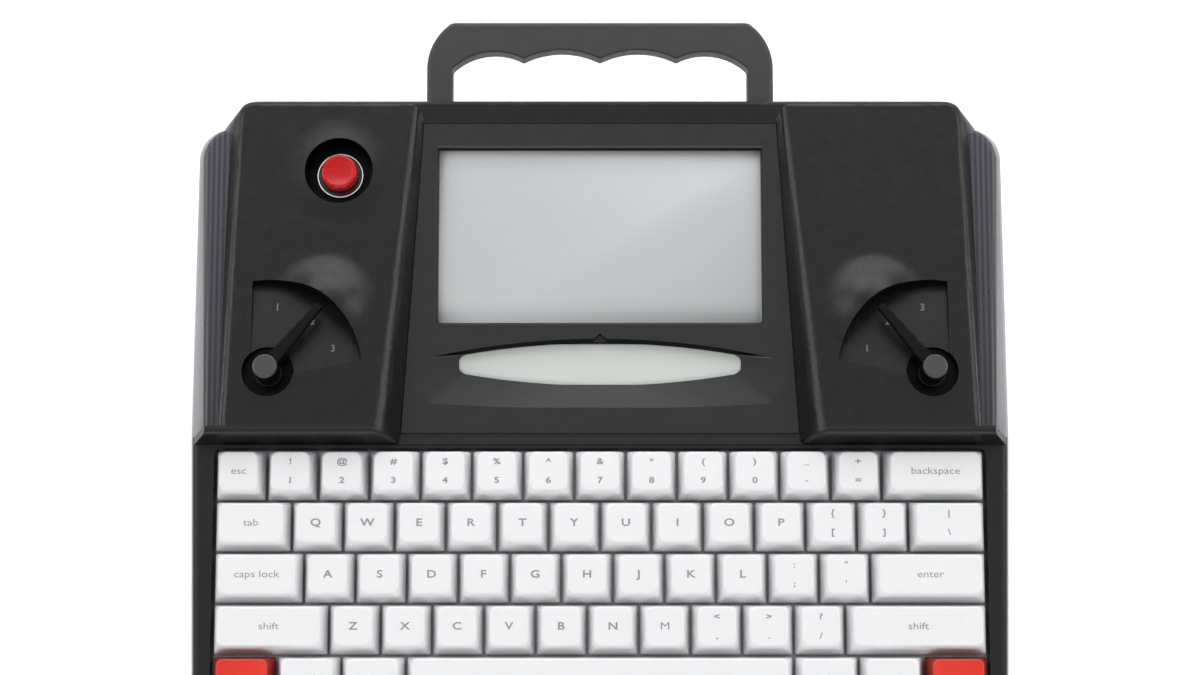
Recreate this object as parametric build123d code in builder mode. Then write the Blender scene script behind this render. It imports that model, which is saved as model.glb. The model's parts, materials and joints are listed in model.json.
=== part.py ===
from build123d import *
import os
from math import asin, atan, cos, radians, sin, sqrt, tan

# Electronic word processor: a wedge-shaped case with a keyboard in front, a display bay between
# two raised shoulders behind it, two selector dials, a push button and a sliding carrying handle.
# Millimetres. +X is the user's right, +Y is away from the user, +Z is up.
# Depths are measured back from the case's front face, heights from the table, and levels
# upwards from the deck, the sloping plane that the keyboard and the display lie in.

# ------------------------------------------------------------------ driving dimensions: the case
foot_height = 3.0
foot_radius = 8.0
foot_pocket = 0.8
foot_round = 0.8
foot_inset = 33.0                # the shell's side to a foot's middle, at the parting line
foot_front_depth = 26.0
foot_rear_depth = 200.0
deck_angle = 9.5                 # slope of the keyboard and of the display, rising to the back
front_height = 26.0              # table to the top of the keyboard frame at its front edge
shell_depth = 226.5              # front face to back face of the lower shell
cover_depth = 237.3              # front face to the back lip, which overhangs the shell
seam_depth = 108.3               # front face to the parting line of frame and rear cover

shell_front_margin = 7.725       # the shell's side stands this far outside the keys' field,
shell_seam_margin = 10.125       # at the front, at the parting line
shell_rear_margin = 9.325        # and at the back
shell_front_radius = 12.0
shell_rear_radius = 12.0
shell_wall = 3.0
least_radius = 1.0               # of a corner inside thick walls
shell_bottom_round = 2.5
shell_rim_round = 1.2
flange_width = 8.0
flange_thickness = 3.0
flange_end_inset = 34.2          # it turns the back corners and ends this far from the shell's side
rim_drop = 5.0                   # the shell's rim lies this far under the deck
base_thickness = 2.5
piece_gap = 0.2                  # between pieces that are fitted together by hand
rest_gap = 0.3                   # between a moving piece and the one that it rests by
cut_past = 1.0                   # a cut runs this far past the faces that it opens
touch = 0.01                     # edges nearer than this to a face lie on it

# ------------------------------------------------------------------ driving dimensions: keyboard
key_pitch = 19.05
key_columns = 15
key_rows = 5
key_field_front = 9.6            # front edge of the case to the first row's cell, up the deck
well_margin = 0.6
well_round = 2.0
frame_inset = 1.0                # the frame's side stands in from the shell's
frame_round = 2.4
skirt_wall = 2.6
skirt_round = 3.0
frame_boss_radius = 2.2
frame_boss_spots = (-130.0, -45.0, 45.0, 130.0)
plate_drop = 8.5                 # deck to the top of the switch plate
plate_thickness = 1.5
plate_corner_radius = 8.0
bulkhead_thickness = 3.0
bulkhead_round = 2.0
bulkhead_foot_inset = 0.6        # its foot's ends, inside the frame's rounded edge
bulkhead_top_inset = 7.7         # its top's ends, inside the shell's sides

cap_gap = 0.95                   # between neighbouring keycaps at their feet
cap_height = 8.6
cap_extra_last_row = 1.0         # the number row's caps are taller
cap_lift = 6.1                   # switch plate to the foot of a keycap
cap_wall = 1.4
cap_side_slope = 2.4
cap_front_slope = 2.8
cap_back_slope = 1.4
cap_foot_round = 0.8
cap_top_round = 2.2
cap_dish_depth = 0.7
cap_dish_rim = 0.5
key_travel = 3.8
travel_room = 0.5                # left under a pressed stem
stem_radius = 2.75
stem_reach = 4.2                 # foot of a keycap to the end of its stem
stem_gap = 0.3                   # round a stem in its bore

switch_body = 13.9
switch_flange = 15.2
switch_flange_height = 1.0
switch_waist = 14.0
switch_neck = 10.4
switch_upper = 5.0
switch_lower = 5.0
plate_hole_gap = 0.05
long_key = 2.0                   # keys this many pitches wide or wider have stabilisers
longest_key = 6.0
stabiliser_width = 6.6
stabiliser_depth = 12.0
stabiliser_flange = 0.5
stabiliser_upper = 3.6
stabiliser_stem_radius = 2.0
stabiliser_reach = 11.9          # middle of a long key to its outer stems
space_bar_reach = 57.15          # the same on the space bar
board_thickness = 1.6
board_edge = 1.9                 # keyboard board, in from the well's opening
post_radius = 2.3
post_hole_gap = 0.6
post_columns_front = (-4.25, -0.25, 3.75)
post_columns_rear = (-5.0, 0.0, 5.0)
post_row_front = 1.5             # rows of keys, counted from the field's front edge
post_row_rear = 3.5

# ------------------------------------------------------------------ driving dimensions: rear cover
cover_wall = 2.6
seam_wall = 2.4
ledge_height = 4.0
ledge_seam_inset = 4.8           # the ledge stands this far inside the shell's sides
ledge_rear_inset = 1.6
ledge_radius = 12.0
ledge_round = 2.4
ledge_back_inset = 0.8
hump_foot_seam_inset = 5.8       # and the shoulders' foot this far inside the ledge
hump_foot_rear_inset = 6.5
hump_foot_depth = 232.5
hump_foot_radius = 12.0
hump_top_seam_inset = 2.4        # and their top this far inside their foot
hump_top_rear_inset = 9.0
hump_top_radius = 9.0
shoulder_front_height = 58.0
shoulder_rear_height = 68.0
shoulder_round = 3.0
bay_floor_front_half = 74.4
bay_floor_rear_half = 66.7
bay_floor_depth = 228.0          # front face to the back of the bay's floor
bay_top_front_half = 80.0
bay_top_rear_half = 70.0
bay_top_depth = 232.8
bay_front_round = 7.5            # its side walls roll over at the top, widest at the parting line
bay_rear_round = 4.5
bay_crease = 0.02                # the rolled edges meet the shoulders this far over their plane
room_top_inset = 1.4             # hollow of a shoulder, in from the walls at its roof
room_radius = 3.0

# ------------------------------------------------------------------ driving dimensions: display
bezel_thickness = 3.6
bezel_front_margin = 1.2
bezel_back_margin = 1.6
screen_half = 61.2
screen_front = 152.9             # up the deck from the front edge
screen_back = 220.0
screen_bevel = 0.8
status_half = 53.2
status_front = 129.4
status_back = 145.6
status_end = 3.0                 # the status window's ends: how long their curve is
status_end_half = 3.8            # and half their height where it meets the long sides
status_lip = 1.0
funnel_half = 69.8
funnel_end = 6.6                 # the same for the funnel that leads down to it
funnel_end_half = 8.8
funnel_front = 120.4
funnel_middle = 131.0
funnel_back = 146.8
notch_half = 3.2
notch_tip = 148.9
panel_half = 65.0
panel_front = 123.8
panel_back = 223.4
panel_thickness = 1.4
panel_gap = 0.4
carrier_front = 115.0
carrier_back = 222.0
carrier_thickness = 2.0
carrier_screw_front = 120.0
carrier_screw_back = 215.0
carrier_boss_radius = 3.4
carrier_boss_height = 6.3
carrier_lap = 0.5                # a boss bites this far into the wall beside it
ribbon_slot_front = 126.5
ribbon_slot_back = 131.0
ribbon_slot_gap = 1.0

# ------------------------------------------------------------------ driving dimensions: dials
dial_inset = 17.2                # a shoulder's top edge at the parting line to a dial's axis
dial_depth = 128.9               # front face to a dial's axis
fan_radius = 35.0
fan_end_room = 7.0               # angle left between the fan's lower edge and the lever
fan_low_offset = 2.9             # the dial's axis to that edge
fan_high_offset = 6.4            # the dial's axis to the fan's other edge, which runs straight back
fan_start = 0.8                  # depth of the fan's floor at the axis
fan_fall = 8.0                   # slope of its floor, falling away from the axis
dial_well_radius = 9.5
dial_well_depth = 3.0
hood_reach = 33.0                # dial's axis to the middle of the hood's swelling
hood_radius = 22.6
hood_height = 5.6
swell_sink = 0.05                # a swelling's foot runs out this far under the shoulder
pocket_wall = 2.4

lever_angle = 52.0               # rest direction of the left lever
lever_swing = 33.0
lever_hub_radius = 4.8
lever_hub_foot = 2.4             # under the shoulder
lever_hub_top = 7.0              # over the shoulder
lever_reach = 31.0
lever_root_width = 5.2
lever_tip_width = 2.6
lever_foot = 1.0
lever_root_top = 6.2
lever_tip_top = 4.2
lever_edge_round = 0.5
lever_cap_radius = 4.5
lever_cap_height = 1.2
shaft_radius = 3.0
shaft_clearance = 0.05
shaft_top = 4.5
shaft_foot = 12.0
bushing_radius = 5.0
selector_size = 16.0
selector_height = 9.0
bore_room = 0.5

# ------------------------------------------------------------------ driving dimensions: button
button_inset = 24.7              # the dial's axis to the button's, across the case
button_depth = 206.1
button_well_radius = 12.8
button_well_depth = 7.0
button_swell_radius = 24.0
button_swell_height = 2.3
button_radius = 6.8
button_clearance = 0.1
button_travel = 2.0
button_length = 12.0
button_edge_round = 0.9
button_ring_radius = 8.75
button_ring_wall = 0.7
button_ring_height = 1.4
button_flange_height = 0.8
button_barrel_radius = 7.4
button_barrel_length = 20.0
button_nut_size = 21.0
button_nut_height = 2.4
terminal_width = 2.8
terminal_thickness = 0.8
terminal_length = 5.0

# ------------------------------------------------------------------ driving dimensions: handle
handle_half = 66.5
handle_drop = 10.0               # deck to the handle's upper face
handle_thickness = 8.0
handle_leg = 10.0
handle_stowed_reach = 19.8       # the shell's back to the pushed-in bar's outer edge, up the deck
handle_bar = 11.0                # bar's width where a finger scallop is deepest
handle_cusp = 3.6                # cusps between scallops stand this far off the scallops
handle_shoulder = 7.4            # the same for a scallop's end at a leg
handle_corner_length = 18.0      # an outer corner's arc, along the leg
handle_corner_width = 9.5        # and across it
handle_corner_round = 4.0        # where that arc meets the bar's straight edge
handle_edge_round = 1.8
handle_inner = 44.0              # how far the legs reach into the shell
handle_travel = 25.0
handle_fit = 0.25
scallop_pitch = 29.4
stop_bar_width = 8.0
guide_wall = 1.6
guide_flange = 4.0
guide_flange_reach = 7.0
guide_flange_height = 10.0

# ------------------------------------------------------------------ driving dimensions: inside
battery_width = 80.0
battery_length = 62.0
battery_height = 9.0
battery_round = 3.0
battery_x = -78.0
battery_depth = 172.0            # front face to its middle
strap_width = 12.0
strap_thickness = 1.2
strap_foot = 9.0
strap_boss_height = 2.5
main_board_half = 52.0
main_board_x = 28.0
main_board_front = 142.0
main_board_back = 222.5
main_board_inset = 6.0           # its edges to the middles of its screws
standoff_height = 5.0
standoff_radius = 3.2
chip_size = 14.0
chip_height = 1.6
chip_depth = 172.0
connector_length = 4.0
connector_set = 4.0              # the board's front edge to its connectors
connector_height = 2.0
module_width = 25.5
module_length = 18.0
module_height = 3.1
module_x = 0.0
module_depth = 200.0
socket_x = 30.0
socket_width = 9.0
socket_height = 3.3
socket_length = 7.5
socket_wall = 0.35
socket_back = 1.0                # thickness of its closed inner end
socket_mouth_gap = 0.6
socket_set = 1.5                 # its mouth stands this far inside the shell's back face
tongue_width = 6.6
tongue_thickness = 0.7
screw_radius = 1.5
screw_length = 5.4
screw_head_radius = 2.8
screw_head_height = 1.8
small_screw_radius = 1.0
small_screw_length = 4.5
small_head_radius = 1.8
small_head_height = 1.1
screw_gap = 0.1                  # round a screw's shank and head in its hole
boss_radius = 4.0
boss_height = 6.0
boss_lap = 0.5
cover_screw_depths = (125.0, 168.0, 209.0)
seam_screw_spots = (90.0, 132.0)
seam_screw_height = 51.0
ribbon_thickness = 0.4
ribbon_width = 24.0
ribbon_bend = 3.0
display_ribbon_x = 18.0
keyboard_ribbon_x = 52.0
keyboard_ribbon_start = 100.0    # up the deck from the front edge

# ------------------------------------------------------------------ worked out from the above
slope = radians(deck_angle)
key_field_half = key_columns * key_pitch / 2
shell_front_half = key_field_half + shell_front_margin
shell_seam_half = key_field_half + shell_seam_margin
shell_rear_half = key_field_half + shell_rear_margin
ledge_seam_half = shell_seam_half - ledge_seam_inset
ledge_rear_half = shell_rear_half - ledge_rear_inset
hump_foot_seam_half = ledge_seam_half - hump_foot_seam_inset
hump_foot_rear_half = ledge_rear_half - hump_foot_rear_inset
hump_top_seam_half = hump_foot_seam_half - hump_top_seam_inset
hump_top_rear_half = hump_foot_rear_half - hump_top_rear_inset
dial_half = hump_top_seam_half - dial_inset
button_half = dial_half - button_inset
fan_low_angle = lever_angle - lever_swing - fan_end_room
handle_reach = handle_stowed_reach + handle_travel
shoulder_rise = shoulder_rear_height - shoulder_front_height
shoulder_slope = atan(shoulder_rise / (cover_depth - seam_depth))
body_top = shoulder_rear_height + rim_drop


def up_deck(depth, level):
    """Distance up the deck, at a level, of the upright plane at a depth."""
    return (depth + level * sin(slope)) / cos(slope)


def depth_of(up, level):
    """Depth of a point that lies a distance up the deck, at a level."""
    return up * cos(slope) - level * sin(slope)


def deck_height(depth, level):
    """Height over the table of the deck's parallel at a level, at a depth."""
    return front_height + depth * tan(slope) + level / cos(slope)


handle_middle = -(handle_drop + handle_thickness / 2)
handle_back = up_deck(shell_depth, handle_middle) + handle_reach
overall_depth = (
    (handle_back - handle_edge_round) * cos(slope)
    + (handle_drop + handle_thickness - handle_edge_round) * sin(slope)
    + handle_edge_round
)
front_y = -overall_depth / 2


def deck_at(level):
    """Plane parallel to the deck, its local Y running up the deck from the front edge."""
    deck = Plane(
        origin=(0, front_y, front_height), x_dir=(1, 0, 0), z_dir=(0, -sin(slope), cos(slope))
    )
    return deck.offset(level)


def shoulder_at(level):
    """Plane parallel to the shoulders' top, its local Y running back from the parting line."""
    shoulder = Plane(
        origin=(0, front_y + seam_depth, shoulder_front_height),
        x_dir=(1, 0, 0),
        z_dir=(0, -sin(shoulder_slope), cos(shoulder_slope)),
    )
    return shoulder.offset(level)


def up_shoulder(depth, level):
    """The same as up_deck, for the shoulders' plane."""
    return (depth - seam_depth + level * sin(shoulder_slope)) / cos(shoulder_slope)


def upright(depth):
    """Upright plane across the case at a depth, facing the user, its local Y straight up."""
    return Plane.XZ.offset(-(front_y + depth))


def between(depth, front, front_value, back, back_value):
    """A value that changes evenly from a front depth to a back depth."""
    return front_value + (back_value - front_value) * (depth - front) / (back - front)


def shell_half(depth):
    """Half width of the shell at a depth."""
    if depth < seam_depth:
        return between(depth, 0, shell_front_half, seam_depth, shell_seam_half)
    return between(depth, seam_depth, shell_seam_half, shell_depth, shell_rear_half)


def bay_half(depth):
    """Half width of the bay's floor at a depth."""
    return between(depth, seam_depth, bay_floor_front_half, bay_floor_depth, bay_floor_rear_half)


def case_outline(inset):
    """Plan outline of the case on the table, drawn in by inset all round."""
    with BuildSketch() as outline:
        with BuildLine():
            Polyline(
                (-(shell_front_half - inset), front_y + inset),
                (shell_front_half - inset, front_y + inset),
                (shell_seam_half - inset, front_y + seam_depth),
                (shell_rear_half - inset, front_y + shell_depth - inset),
                (-(shell_rear_half - inset), front_y + shell_depth - inset),
                (-(shell_seam_half - inset), front_y + seam_depth),
                close=True,
            )
        make_face()
        fillet(outline.vertices().group_by(Axis.Y)[0], max(shell_front_radius - inset, least_radius))
        fillet(outline.vertices().group_by(Axis.Y)[-1], max(shell_rear_radius - inset, least_radius))
    return outline.sketch


def four_sided(plane, front_half, rear_half, front, back, back_radius=0):
    """Face that is straight in front, narrower or wider behind, with rounded rear corners."""
    with BuildSketch(plane) as section:
        with BuildLine():
            Polyline(
                (-front_half, front), (front_half, front), (rear_half, back), (-rear_half, back),
                close=True,
            )
        make_face()
        if back_radius:
            fillet(section.vertices().group_by(Axis.Y)[-1], back_radius)
    return section.sketch.face()


def pan_screw(radius, length, head_radius, head_height):
    """Screw along Z: its head's flat underside on Z = 0, its shank above, its head below."""
    with BuildPart() as screw:
        Cylinder(radius, length, align=(Align.CENTER, Align.CENTER, Align.MIN))
        Cylinder(head_radius, head_height, align=(Align.CENTER, Align.CENTER, Align.MAX))
        fillet(screw.edges().group_by(Axis.Z)[0], head_height / 3)
        with BuildSketch(Plane.XY.offset(-head_height)):
            RegularPolygon(head_radius / 2, 6)
        extrude(amount=head_height / 2, mode=Mode.SUBTRACT)
    return screw.part


def bore(radius, start, end):
    """Upright cylinder between two heights of the local frame, for cutting holes."""
    return Solid.make_cylinder(radius, end - start, Plane.XY.offset(start))


def finish(builder, name):
    """Label a piece and write its file."""
    builder.part.label = name
    export_step(builder.part, f"parts/{name}.step")


os.makedirs("parts", exist_ok=True)

# ------------------------------------------------------------------ where the screws go
base_level = foot_height
inner_floor = base_level + base_thickness
flange_under = rim_drop + flange_thickness


def corner_boss(half, depth, radius, towards):
    """Middle of a boss that leans on the inside of a rounded corner of the shell."""
    reach = (radius - shell_wall - boss_radius + boss_lap) / sqrt(2)
    return half - radius + reach, depth + towards * (radius - reach)


base_screw_corners = (
    corner_boss(shell_front_half, 0, shell_front_radius, 1),
    (shell_seam_half - shell_wall - boss_radius + boss_lap, seam_depth),
    corner_boss(shell_rear_half, shell_depth, shell_rear_radius, -1),
)
base_screw_spots = [
    (side * half, front_y + depth) for half, depth in base_screw_corners for side in (-1, 1)
]
cover_screw_spots = [
    (
        side * (shell_half(depth) - shell_wall - flange_width / 2),
        up_deck(depth, -flange_under),
    )
    for depth in cover_screw_depths
    for side in (-1, 1)
]
well_half = key_field_half + well_margin
well_front = key_field_front - well_margin
well_back = key_field_front + key_rows * key_pitch + well_margin
frame_boss_up = well_front - skirt_wall - frame_boss_radius / 2 + rest_gap
frame_screw_spots = [(x, frame_boss_up) for x in frame_boss_spots]
post_spots = [
    (column * key_pitch, key_field_front + row * key_pitch)
    for row, columns in ((post_row_front, post_columns_front), (post_row_rear, post_columns_rear))
    for column in columns
]
plate_under = plate_drop + plate_thickness
leg_x = handle_half - handle_leg / 2
guide_half_width = handle_leg / 2 + handle_fit + guide_wall
guide_half_height = handle_thickness / 2 + handle_fit + guide_wall
guide_screw_reach = guide_half_width + guide_flange_reach / 2
inner_back = shell_depth - shell_wall
guide_height = deck_height(inner_back, handle_middle)
guide_screw_spots = [
    (side * (leg_x + reach), guide_height)
    for side in (-1, 1)
    for reach in (-guide_screw_reach, guide_screw_reach)
]
board_level = inner_floor + standoff_height
board_top = board_level + board_thickness
board_middle_depth = (main_board_front + main_board_back) / 2
board_screw_spots = [
    (
        main_board_x + side * (main_board_half - main_board_inset),
        front_y + board_middle_depth
        + end * ((main_board_back - main_board_front) / 2 - main_board_inset),
    )
    for side in (-1, 1)
    for end in (-1, 1)
]
strap_side = battery_width / 2 + rest_gap + strap_thickness
strap_screw_spots = [
    (battery_x + side * (strap_side + strap_foot / 2), front_y + battery_depth)
    for side in (-1, 1)
]
carrier_screw_spots = [
    (
        side * (bay_half(depth) + cover_wall + carrier_boss_radius - carrier_lap),
        up_deck(depth, -rim_drop),
    )
    for depth in (carrier_screw_front, carrier_screw_back)
    for side in (-1, 1)
]

case_screw = pan_screw(screw_radius, screw_length, screw_head_radius, screw_head_height)
small_screw = pan_screw(
    small_screw_radius, small_screw_length, small_head_radius, small_head_height
)

# ------------------------------------------------------------------ lower shell
with BuildPart() as shell_room:
    # the space inside the walls, up to the underside of the flange that carries the rear cover
    extrude(case_outline(shell_wall), amount=body_top)
    split(bisect_by=deck_at(-flange_under), keep=Keep.BOTTOM)

with BuildPart() as keyboard_room:
    # in front of the parting line there is no flange: the keyboard frame hangs down there
    extrude(case_outline(shell_wall), amount=body_top)
    split(bisect_by=upright(seam_depth), keep=Keep.TOP)

with BuildPart() as lower_shell:
    extrude(case_outline(0), amount=body_top)
    split(bisect_by=Plane.XY.offset(base_level), keep=Keep.TOP)
    split(bisect_by=deck_at(-rim_drop), keep=Keep.BOTTOM)
    fillet(lower_shell.edges().group_by(Axis.Z)[0], shell_bottom_round)
    rim = lower_shell.faces().filter_by(deck_at(-rim_drop))[0]
    fillet(rim.edges(), shell_rim_round)
    add(shell_room.part, mode=Mode.SUBTRACT)
    add(keyboard_room.part, mode=Mode.SUBTRACT)
    extrude(case_outline(shell_wall + flange_width), amount=body_top, mode=Mode.SUBTRACT)
    # behind the bay and the push button the flange is left out too
    with BuildSketch():
        with Locations((0, front_y + (seam_depth + inner_back) / 2)):
            Rectangle(2 * (shell_rear_half - flange_end_inset), inner_back - seam_depth)
    extrude(amount=body_top, mode=Mode.SUBTRACT)
    # bosses for the base plate's screws, grown on the walls
    with BuildSketch(Plane.XY.offset(inner_floor)):
        with Locations(base_screw_spots):
            Circle(boss_radius)
    extrude(amount=boss_height)
    with Locations(base_screw_spots):
        add(bore(screw_radius, inner_floor - cut_past, inner_floor + screw_length), mode=Mode.SUBTRACT)
    # holes through the flange for the rear cover's screws
    with Locations([deck_at(-flange_under) * Pos(x, up) for x, up in cover_screw_spots]):
        add(
            bore(screw_radius + screw_gap, -cut_past, flange_thickness + cut_past),
            mode=Mode.SUBTRACT,
        )
    # slots for the handle's legs, long enough to pass the sloping cut through the upright wall
    slot_length = 2 * (shell_wall + handle_thickness * tan(slope)) + shell_wall
    with BuildSketch(deck_at(handle_middle)):
        with Locations([(side * leg_x, up_deck(shell_depth, handle_middle)) for side in (-1, 1)]):
            Rectangle(handle_leg + 2 * handle_fit, slot_length)
    extrude(amount=handle_thickness / 2 + handle_fit, both=True, mode=Mode.SUBTRACT)
    # counterbored holes for the handle guides' screws
    with BuildSketch(upright(shell_depth)):
        with Locations(guide_screw_spots):
            Circle(screw_radius + screw_gap)
    extrude(amount=shell_wall, mode=Mode.SUBTRACT)
    with BuildSketch(upright(shell_depth)):
        with Locations(guide_screw_spots):
            Circle(screw_head_radius + screw_gap)
    extrude(amount=screw_head_height, mode=Mode.SUBTRACT)
    # mouth of the charging socket
    with BuildSketch(upright(shell_depth)):
        with Locations((socket_x, board_top + socket_height / 2)):
            SlotOverall(
                socket_width + 2 * socket_mouth_gap, socket_height + 2 * socket_mouth_gap
            )
    extrude(amount=shell_wall, mode=Mode.SUBTRACT)
finish(lower_shell, "lower_shell")

# ------------------------------------------------------------------ base plate and feet
foot_spots = [
    (side * (shell_seam_half - foot_inset), front_y + depth)
    for depth in (foot_front_depth, foot_rear_depth)
    for side in (-1, 1)
]
post_feet = [(x, front_y + depth_of(up, -plate_under)) for x, up in post_spots]

with BuildPart() as base_plate:
    extrude(case_outline(shell_wall + piece_gap), amount=inner_floor)
    split(bisect_by=Plane.XY.offset(base_level), keep=Keep.TOP)
    with BuildSketch(Plane.XY.offset(inner_floor)):
        with Locations(post_feet):
            Circle(post_radius)
    extrude(amount=body_top - inner_floor)
    split(bisect_by=deck_at(-plate_under), keep=Keep.BOTTOM)
    with BuildSketch(Plane.XY.offset(inner_floor)):
        with Locations(board_screw_spots):
            Circle(standoff_radius)
    extrude(amount=standoff_height)
    with BuildSketch(Plane.XY.offset(inner_floor)):
        with Locations(strap_screw_spots):
            Circle(standoff_radius)
    extrude(amount=strap_boss_height)
    # screw holes: into the posts, the standoffs and the strap's bosses, and for the case screws
    with Locations([deck_at(-plate_under) * Pos(x, up) for x, up in post_spots]):
        add(
            bore(small_screw_radius, plate_thickness - small_screw_length, cut_past),
            mode=Mode.SUBTRACT,
        )
    with Locations([(x, y, board_level) for x, y in board_screw_spots]):
        add(
            bore(small_screw_radius, board_thickness - small_screw_length, cut_past),
            mode=Mode.SUBTRACT,
        )
    with Locations([(x, y, inner_floor + strap_boss_height) for x, y in strap_screw_spots]):
        add(
            bore(small_screw_radius, strap_thickness - small_screw_length, cut_past),
            mode=Mode.SUBTRACT,
        )
    with Locations(base_screw_spots):
        add(bore(screw_radius + screw_gap, 0, inner_floor + cut_past), mode=Mode.SUBTRACT)
        add(bore(screw_head_radius + screw_gap, 0, base_level + screw_head_height),
            mode=Mode.SUBTRACT)
    with Locations(foot_spots):
        add(bore(foot_radius + piece_gap, 0, base_level + foot_pocket), mode=Mode.SUBTRACT)
finish(base_plate, "base_plate")

with BuildPart() as rubber_feet:
    with BuildSketch():
        with Locations(foot_spots):
            Circle(foot_radius)
    extrude(amount=base_level + foot_pocket)
    fillet(rubber_feet.edges().group_by(Axis.Z)[0], foot_round)
finish(rubber_feet, "rubber_feet")

with BuildPart() as base_screws:
    with Locations([(x, y, base_level + screw_head_height) for x, y in base_screw_spots]):
        add(case_screw)
finish(base_screws, "base_screws")

with BuildPart() as cover_screws:
    with Locations([deck_at(-flange_under) * Pos(x, up) for x, up in cover_screw_spots]):
        add(case_screw)
finish(cover_screws, "cover_screws")

# ------------------------------------------------------------------ keyboard frame
well_middle = (well_front + well_back) / 2
skirt_half = well_half + skirt_wall

with BuildPart() as keyboard_frame:
    with BuildSketch() as frame_outline:
        with BuildLine():
            Polyline(
                (-(shell_front_half - frame_inset), front_y + frame_inset),
                (shell_front_half - frame_inset, front_y + frame_inset),
                (shell_seam_half - frame_inset, front_y + seam_depth),
                (-(shell_seam_half - frame_inset), front_y + seam_depth),
                close=True,
            )
        make_face()
        fillet(
            frame_outline.vertices().group_by(Axis.Y)[0], shell_front_radius - frame_inset
        )
    extrude(amount=body_top)
    split(bisect_by=deck_at(0), keep=Keep.BOTTOM)
    split(bisect_by=deck_at(-rim_drop), keep=Keep.TOP)
    deck_face = keyboard_frame.faces().filter_by(deck_at(0)).sort_by(Axis.Z)[-1]
    deck_edges = deck_face.edges().sort_by(Axis.Y)
    fillet(deck_edges[:-1], frame_round)
    # bulkhead: the frame's upright back wall, which closes the front of both shoulders
    foot_half = shell_seam_half - frame_inset - bulkhead_foot_inset
    top_half = shell_seam_half - bulkhead_top_inset
    foot_level = deck_height(seam_depth, -frame_round / 2)
    bay_level = deck_height(seam_depth, 0)
    with BuildSketch(upright(seam_depth)) as bulkhead:
        with BuildLine():
            Polyline(
                (-foot_half, foot_level), (-top_half, shoulder_front_height),
                (-bay_top_front_half, shoulder_front_height), (-bay_floor_front_half, bay_level),
                (bay_floor_front_half, bay_level), (bay_top_front_half, shoulder_front_height),
                (top_half, shoulder_front_height), (foot_half, foot_level),
                close=True,
            )
        make_face()
        rolls = [v for v in bulkhead.vertices() if abs(abs(v.X) - bay_top_front_half) < touch]
        fillet(rolls, bay_front_round)
    extrude(amount=bulkhead_thickness)
    top_edges = keyboard_frame.edges().filter_by(Axis.X).group_by(Axis.Z)[-1]
    fillet(top_edges.group_by(Axis.Y)[0], bulkhead_round)
    # the well that the keys stand in, and its skirt down to the switch plate
    with BuildSketch(deck_at(-rim_drop)):
        with Locations((0, well_middle)):
            RectangleRounded(
                2 * skirt_half, well_back - well_front + 2 * skirt_wall, skirt_round
            )
        with Locations([(x, up) for x, up in frame_screw_spots]):
            Circle(frame_boss_radius)
    extrude(amount=-(plate_drop - rim_drop))
    with BuildSketch(deck_at(body_top)):
        with Locations((0, well_middle)):
            RectangleRounded(2 * well_half, well_back - well_front, well_round)
    extrude(amount=-(body_top + plate_drop), mode=Mode.SUBTRACT)
    with Locations([deck_at(-plate_drop) * Pos(x, up) for x, up in frame_screw_spots]):
        add(bore(small_screw_radius, -cut_past, small_screw_length - plate_thickness),
            mode=Mode.SUBTRACT)
    # holes for the screws that draw the bulkhead against the rear cover
    with Locations([
        upright(seam_depth) * Pos(side * x, seam_screw_height)
        for x in seam_screw_spots for side in (-1, 1)
    ]):
        add(
            bore(small_screw_radius, -cut_past, small_screw_length - seam_wall),
            mode=Mode.SUBTRACT,
        )
finish(keyboard_frame, "keyboard_frame")

# ------------------------------------------------------------------ dials: where they lie
shoulder_x = Vector(1, 0, 0)
shoulder_up = Vector(0, -sin(shoulder_slope), cos(shoulder_slope))
shoulder_back = Vector(0, cos(shoulder_slope), sin(shoulder_slope))
dial_up = up_shoulder(dial_depth, 0)
button_up = up_shoulder(button_depth, 0)
fan_middle_angle = (fan_low_angle + 90) / 2


def dial_plane(side, level, turn=0):
    """Plane on a dial's axis at a level over the shoulder, its X turned towards a direction."""
    middle = shoulder_at(level).from_local_coords(Vector(side * dial_half, dial_up, 0))
    along = shoulder_x * (-side * cos(radians(turn))) + shoulder_back * sin(radians(turn))
    return Plane(origin=middle, x_dir=along, z_dir=shoulder_up)


def fan_face(side, level, grow):
    """The fan of a dial's pocket on a plane over the shoulder, drawn out by grow all round."""
    low_angle = radians(fan_low_angle)
    low_reach = sqrt(fan_radius**2 - fan_low_offset**2)
    high_reach = sqrt(fan_radius**2 - fan_high_offset**2)
    low_foot = Vector(fan_low_offset * sin(low_angle), -fan_low_offset * cos(low_angle))
    low_end = low_foot + Vector(cos(low_angle), sin(low_angle)) * low_reach
    heel = Vector(-fan_high_offset, low_foot.Y - (fan_high_offset + low_foot.X) * tan(low_angle))
    middle_angle = radians(fan_middle_angle)
    middle = Vector(fan_radius * cos(middle_angle), fan_radius * sin(middle_angle))
    with BuildSketch(Plane.XY.offset(level)) as fan:
        with BuildLine():
            Line(heel, low_end)
            ThreePointArc(low_end, middle, (-fan_high_offset, high_reach))
            Line((-fan_high_offset, high_reach), heel)
        make_face()
        if side > 0:
            mirror(about=Plane.YZ, mode=Mode.REPLACE)
        if grow:
            offset(amount=grow, kind=Kind.ARC)
    return shoulder_at(0) * Pos(side * dial_half, dial_up) * fan.sketch


def fan_block(side, grow):
    """Solid that fills a dial's pocket down to its sloping floor, drawn out by grow."""
    tilt = radians(fan_fall)
    along = dial_plane(side, 0, fan_middle_angle).x_dir
    floor = Plane(
        origin=dial_plane(side, -fan_start - grow).origin,
        z_dir=shoulder_up * cos(tilt) + along * sin(tilt),
    )
    with BuildPart() as block:
        extrude(fan_face(side, hood_height + cut_past, grow), amount=-(fan_radius / 2))
        split(bisect_by=floor, keep=Keep.TOP)
    return block.part


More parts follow.
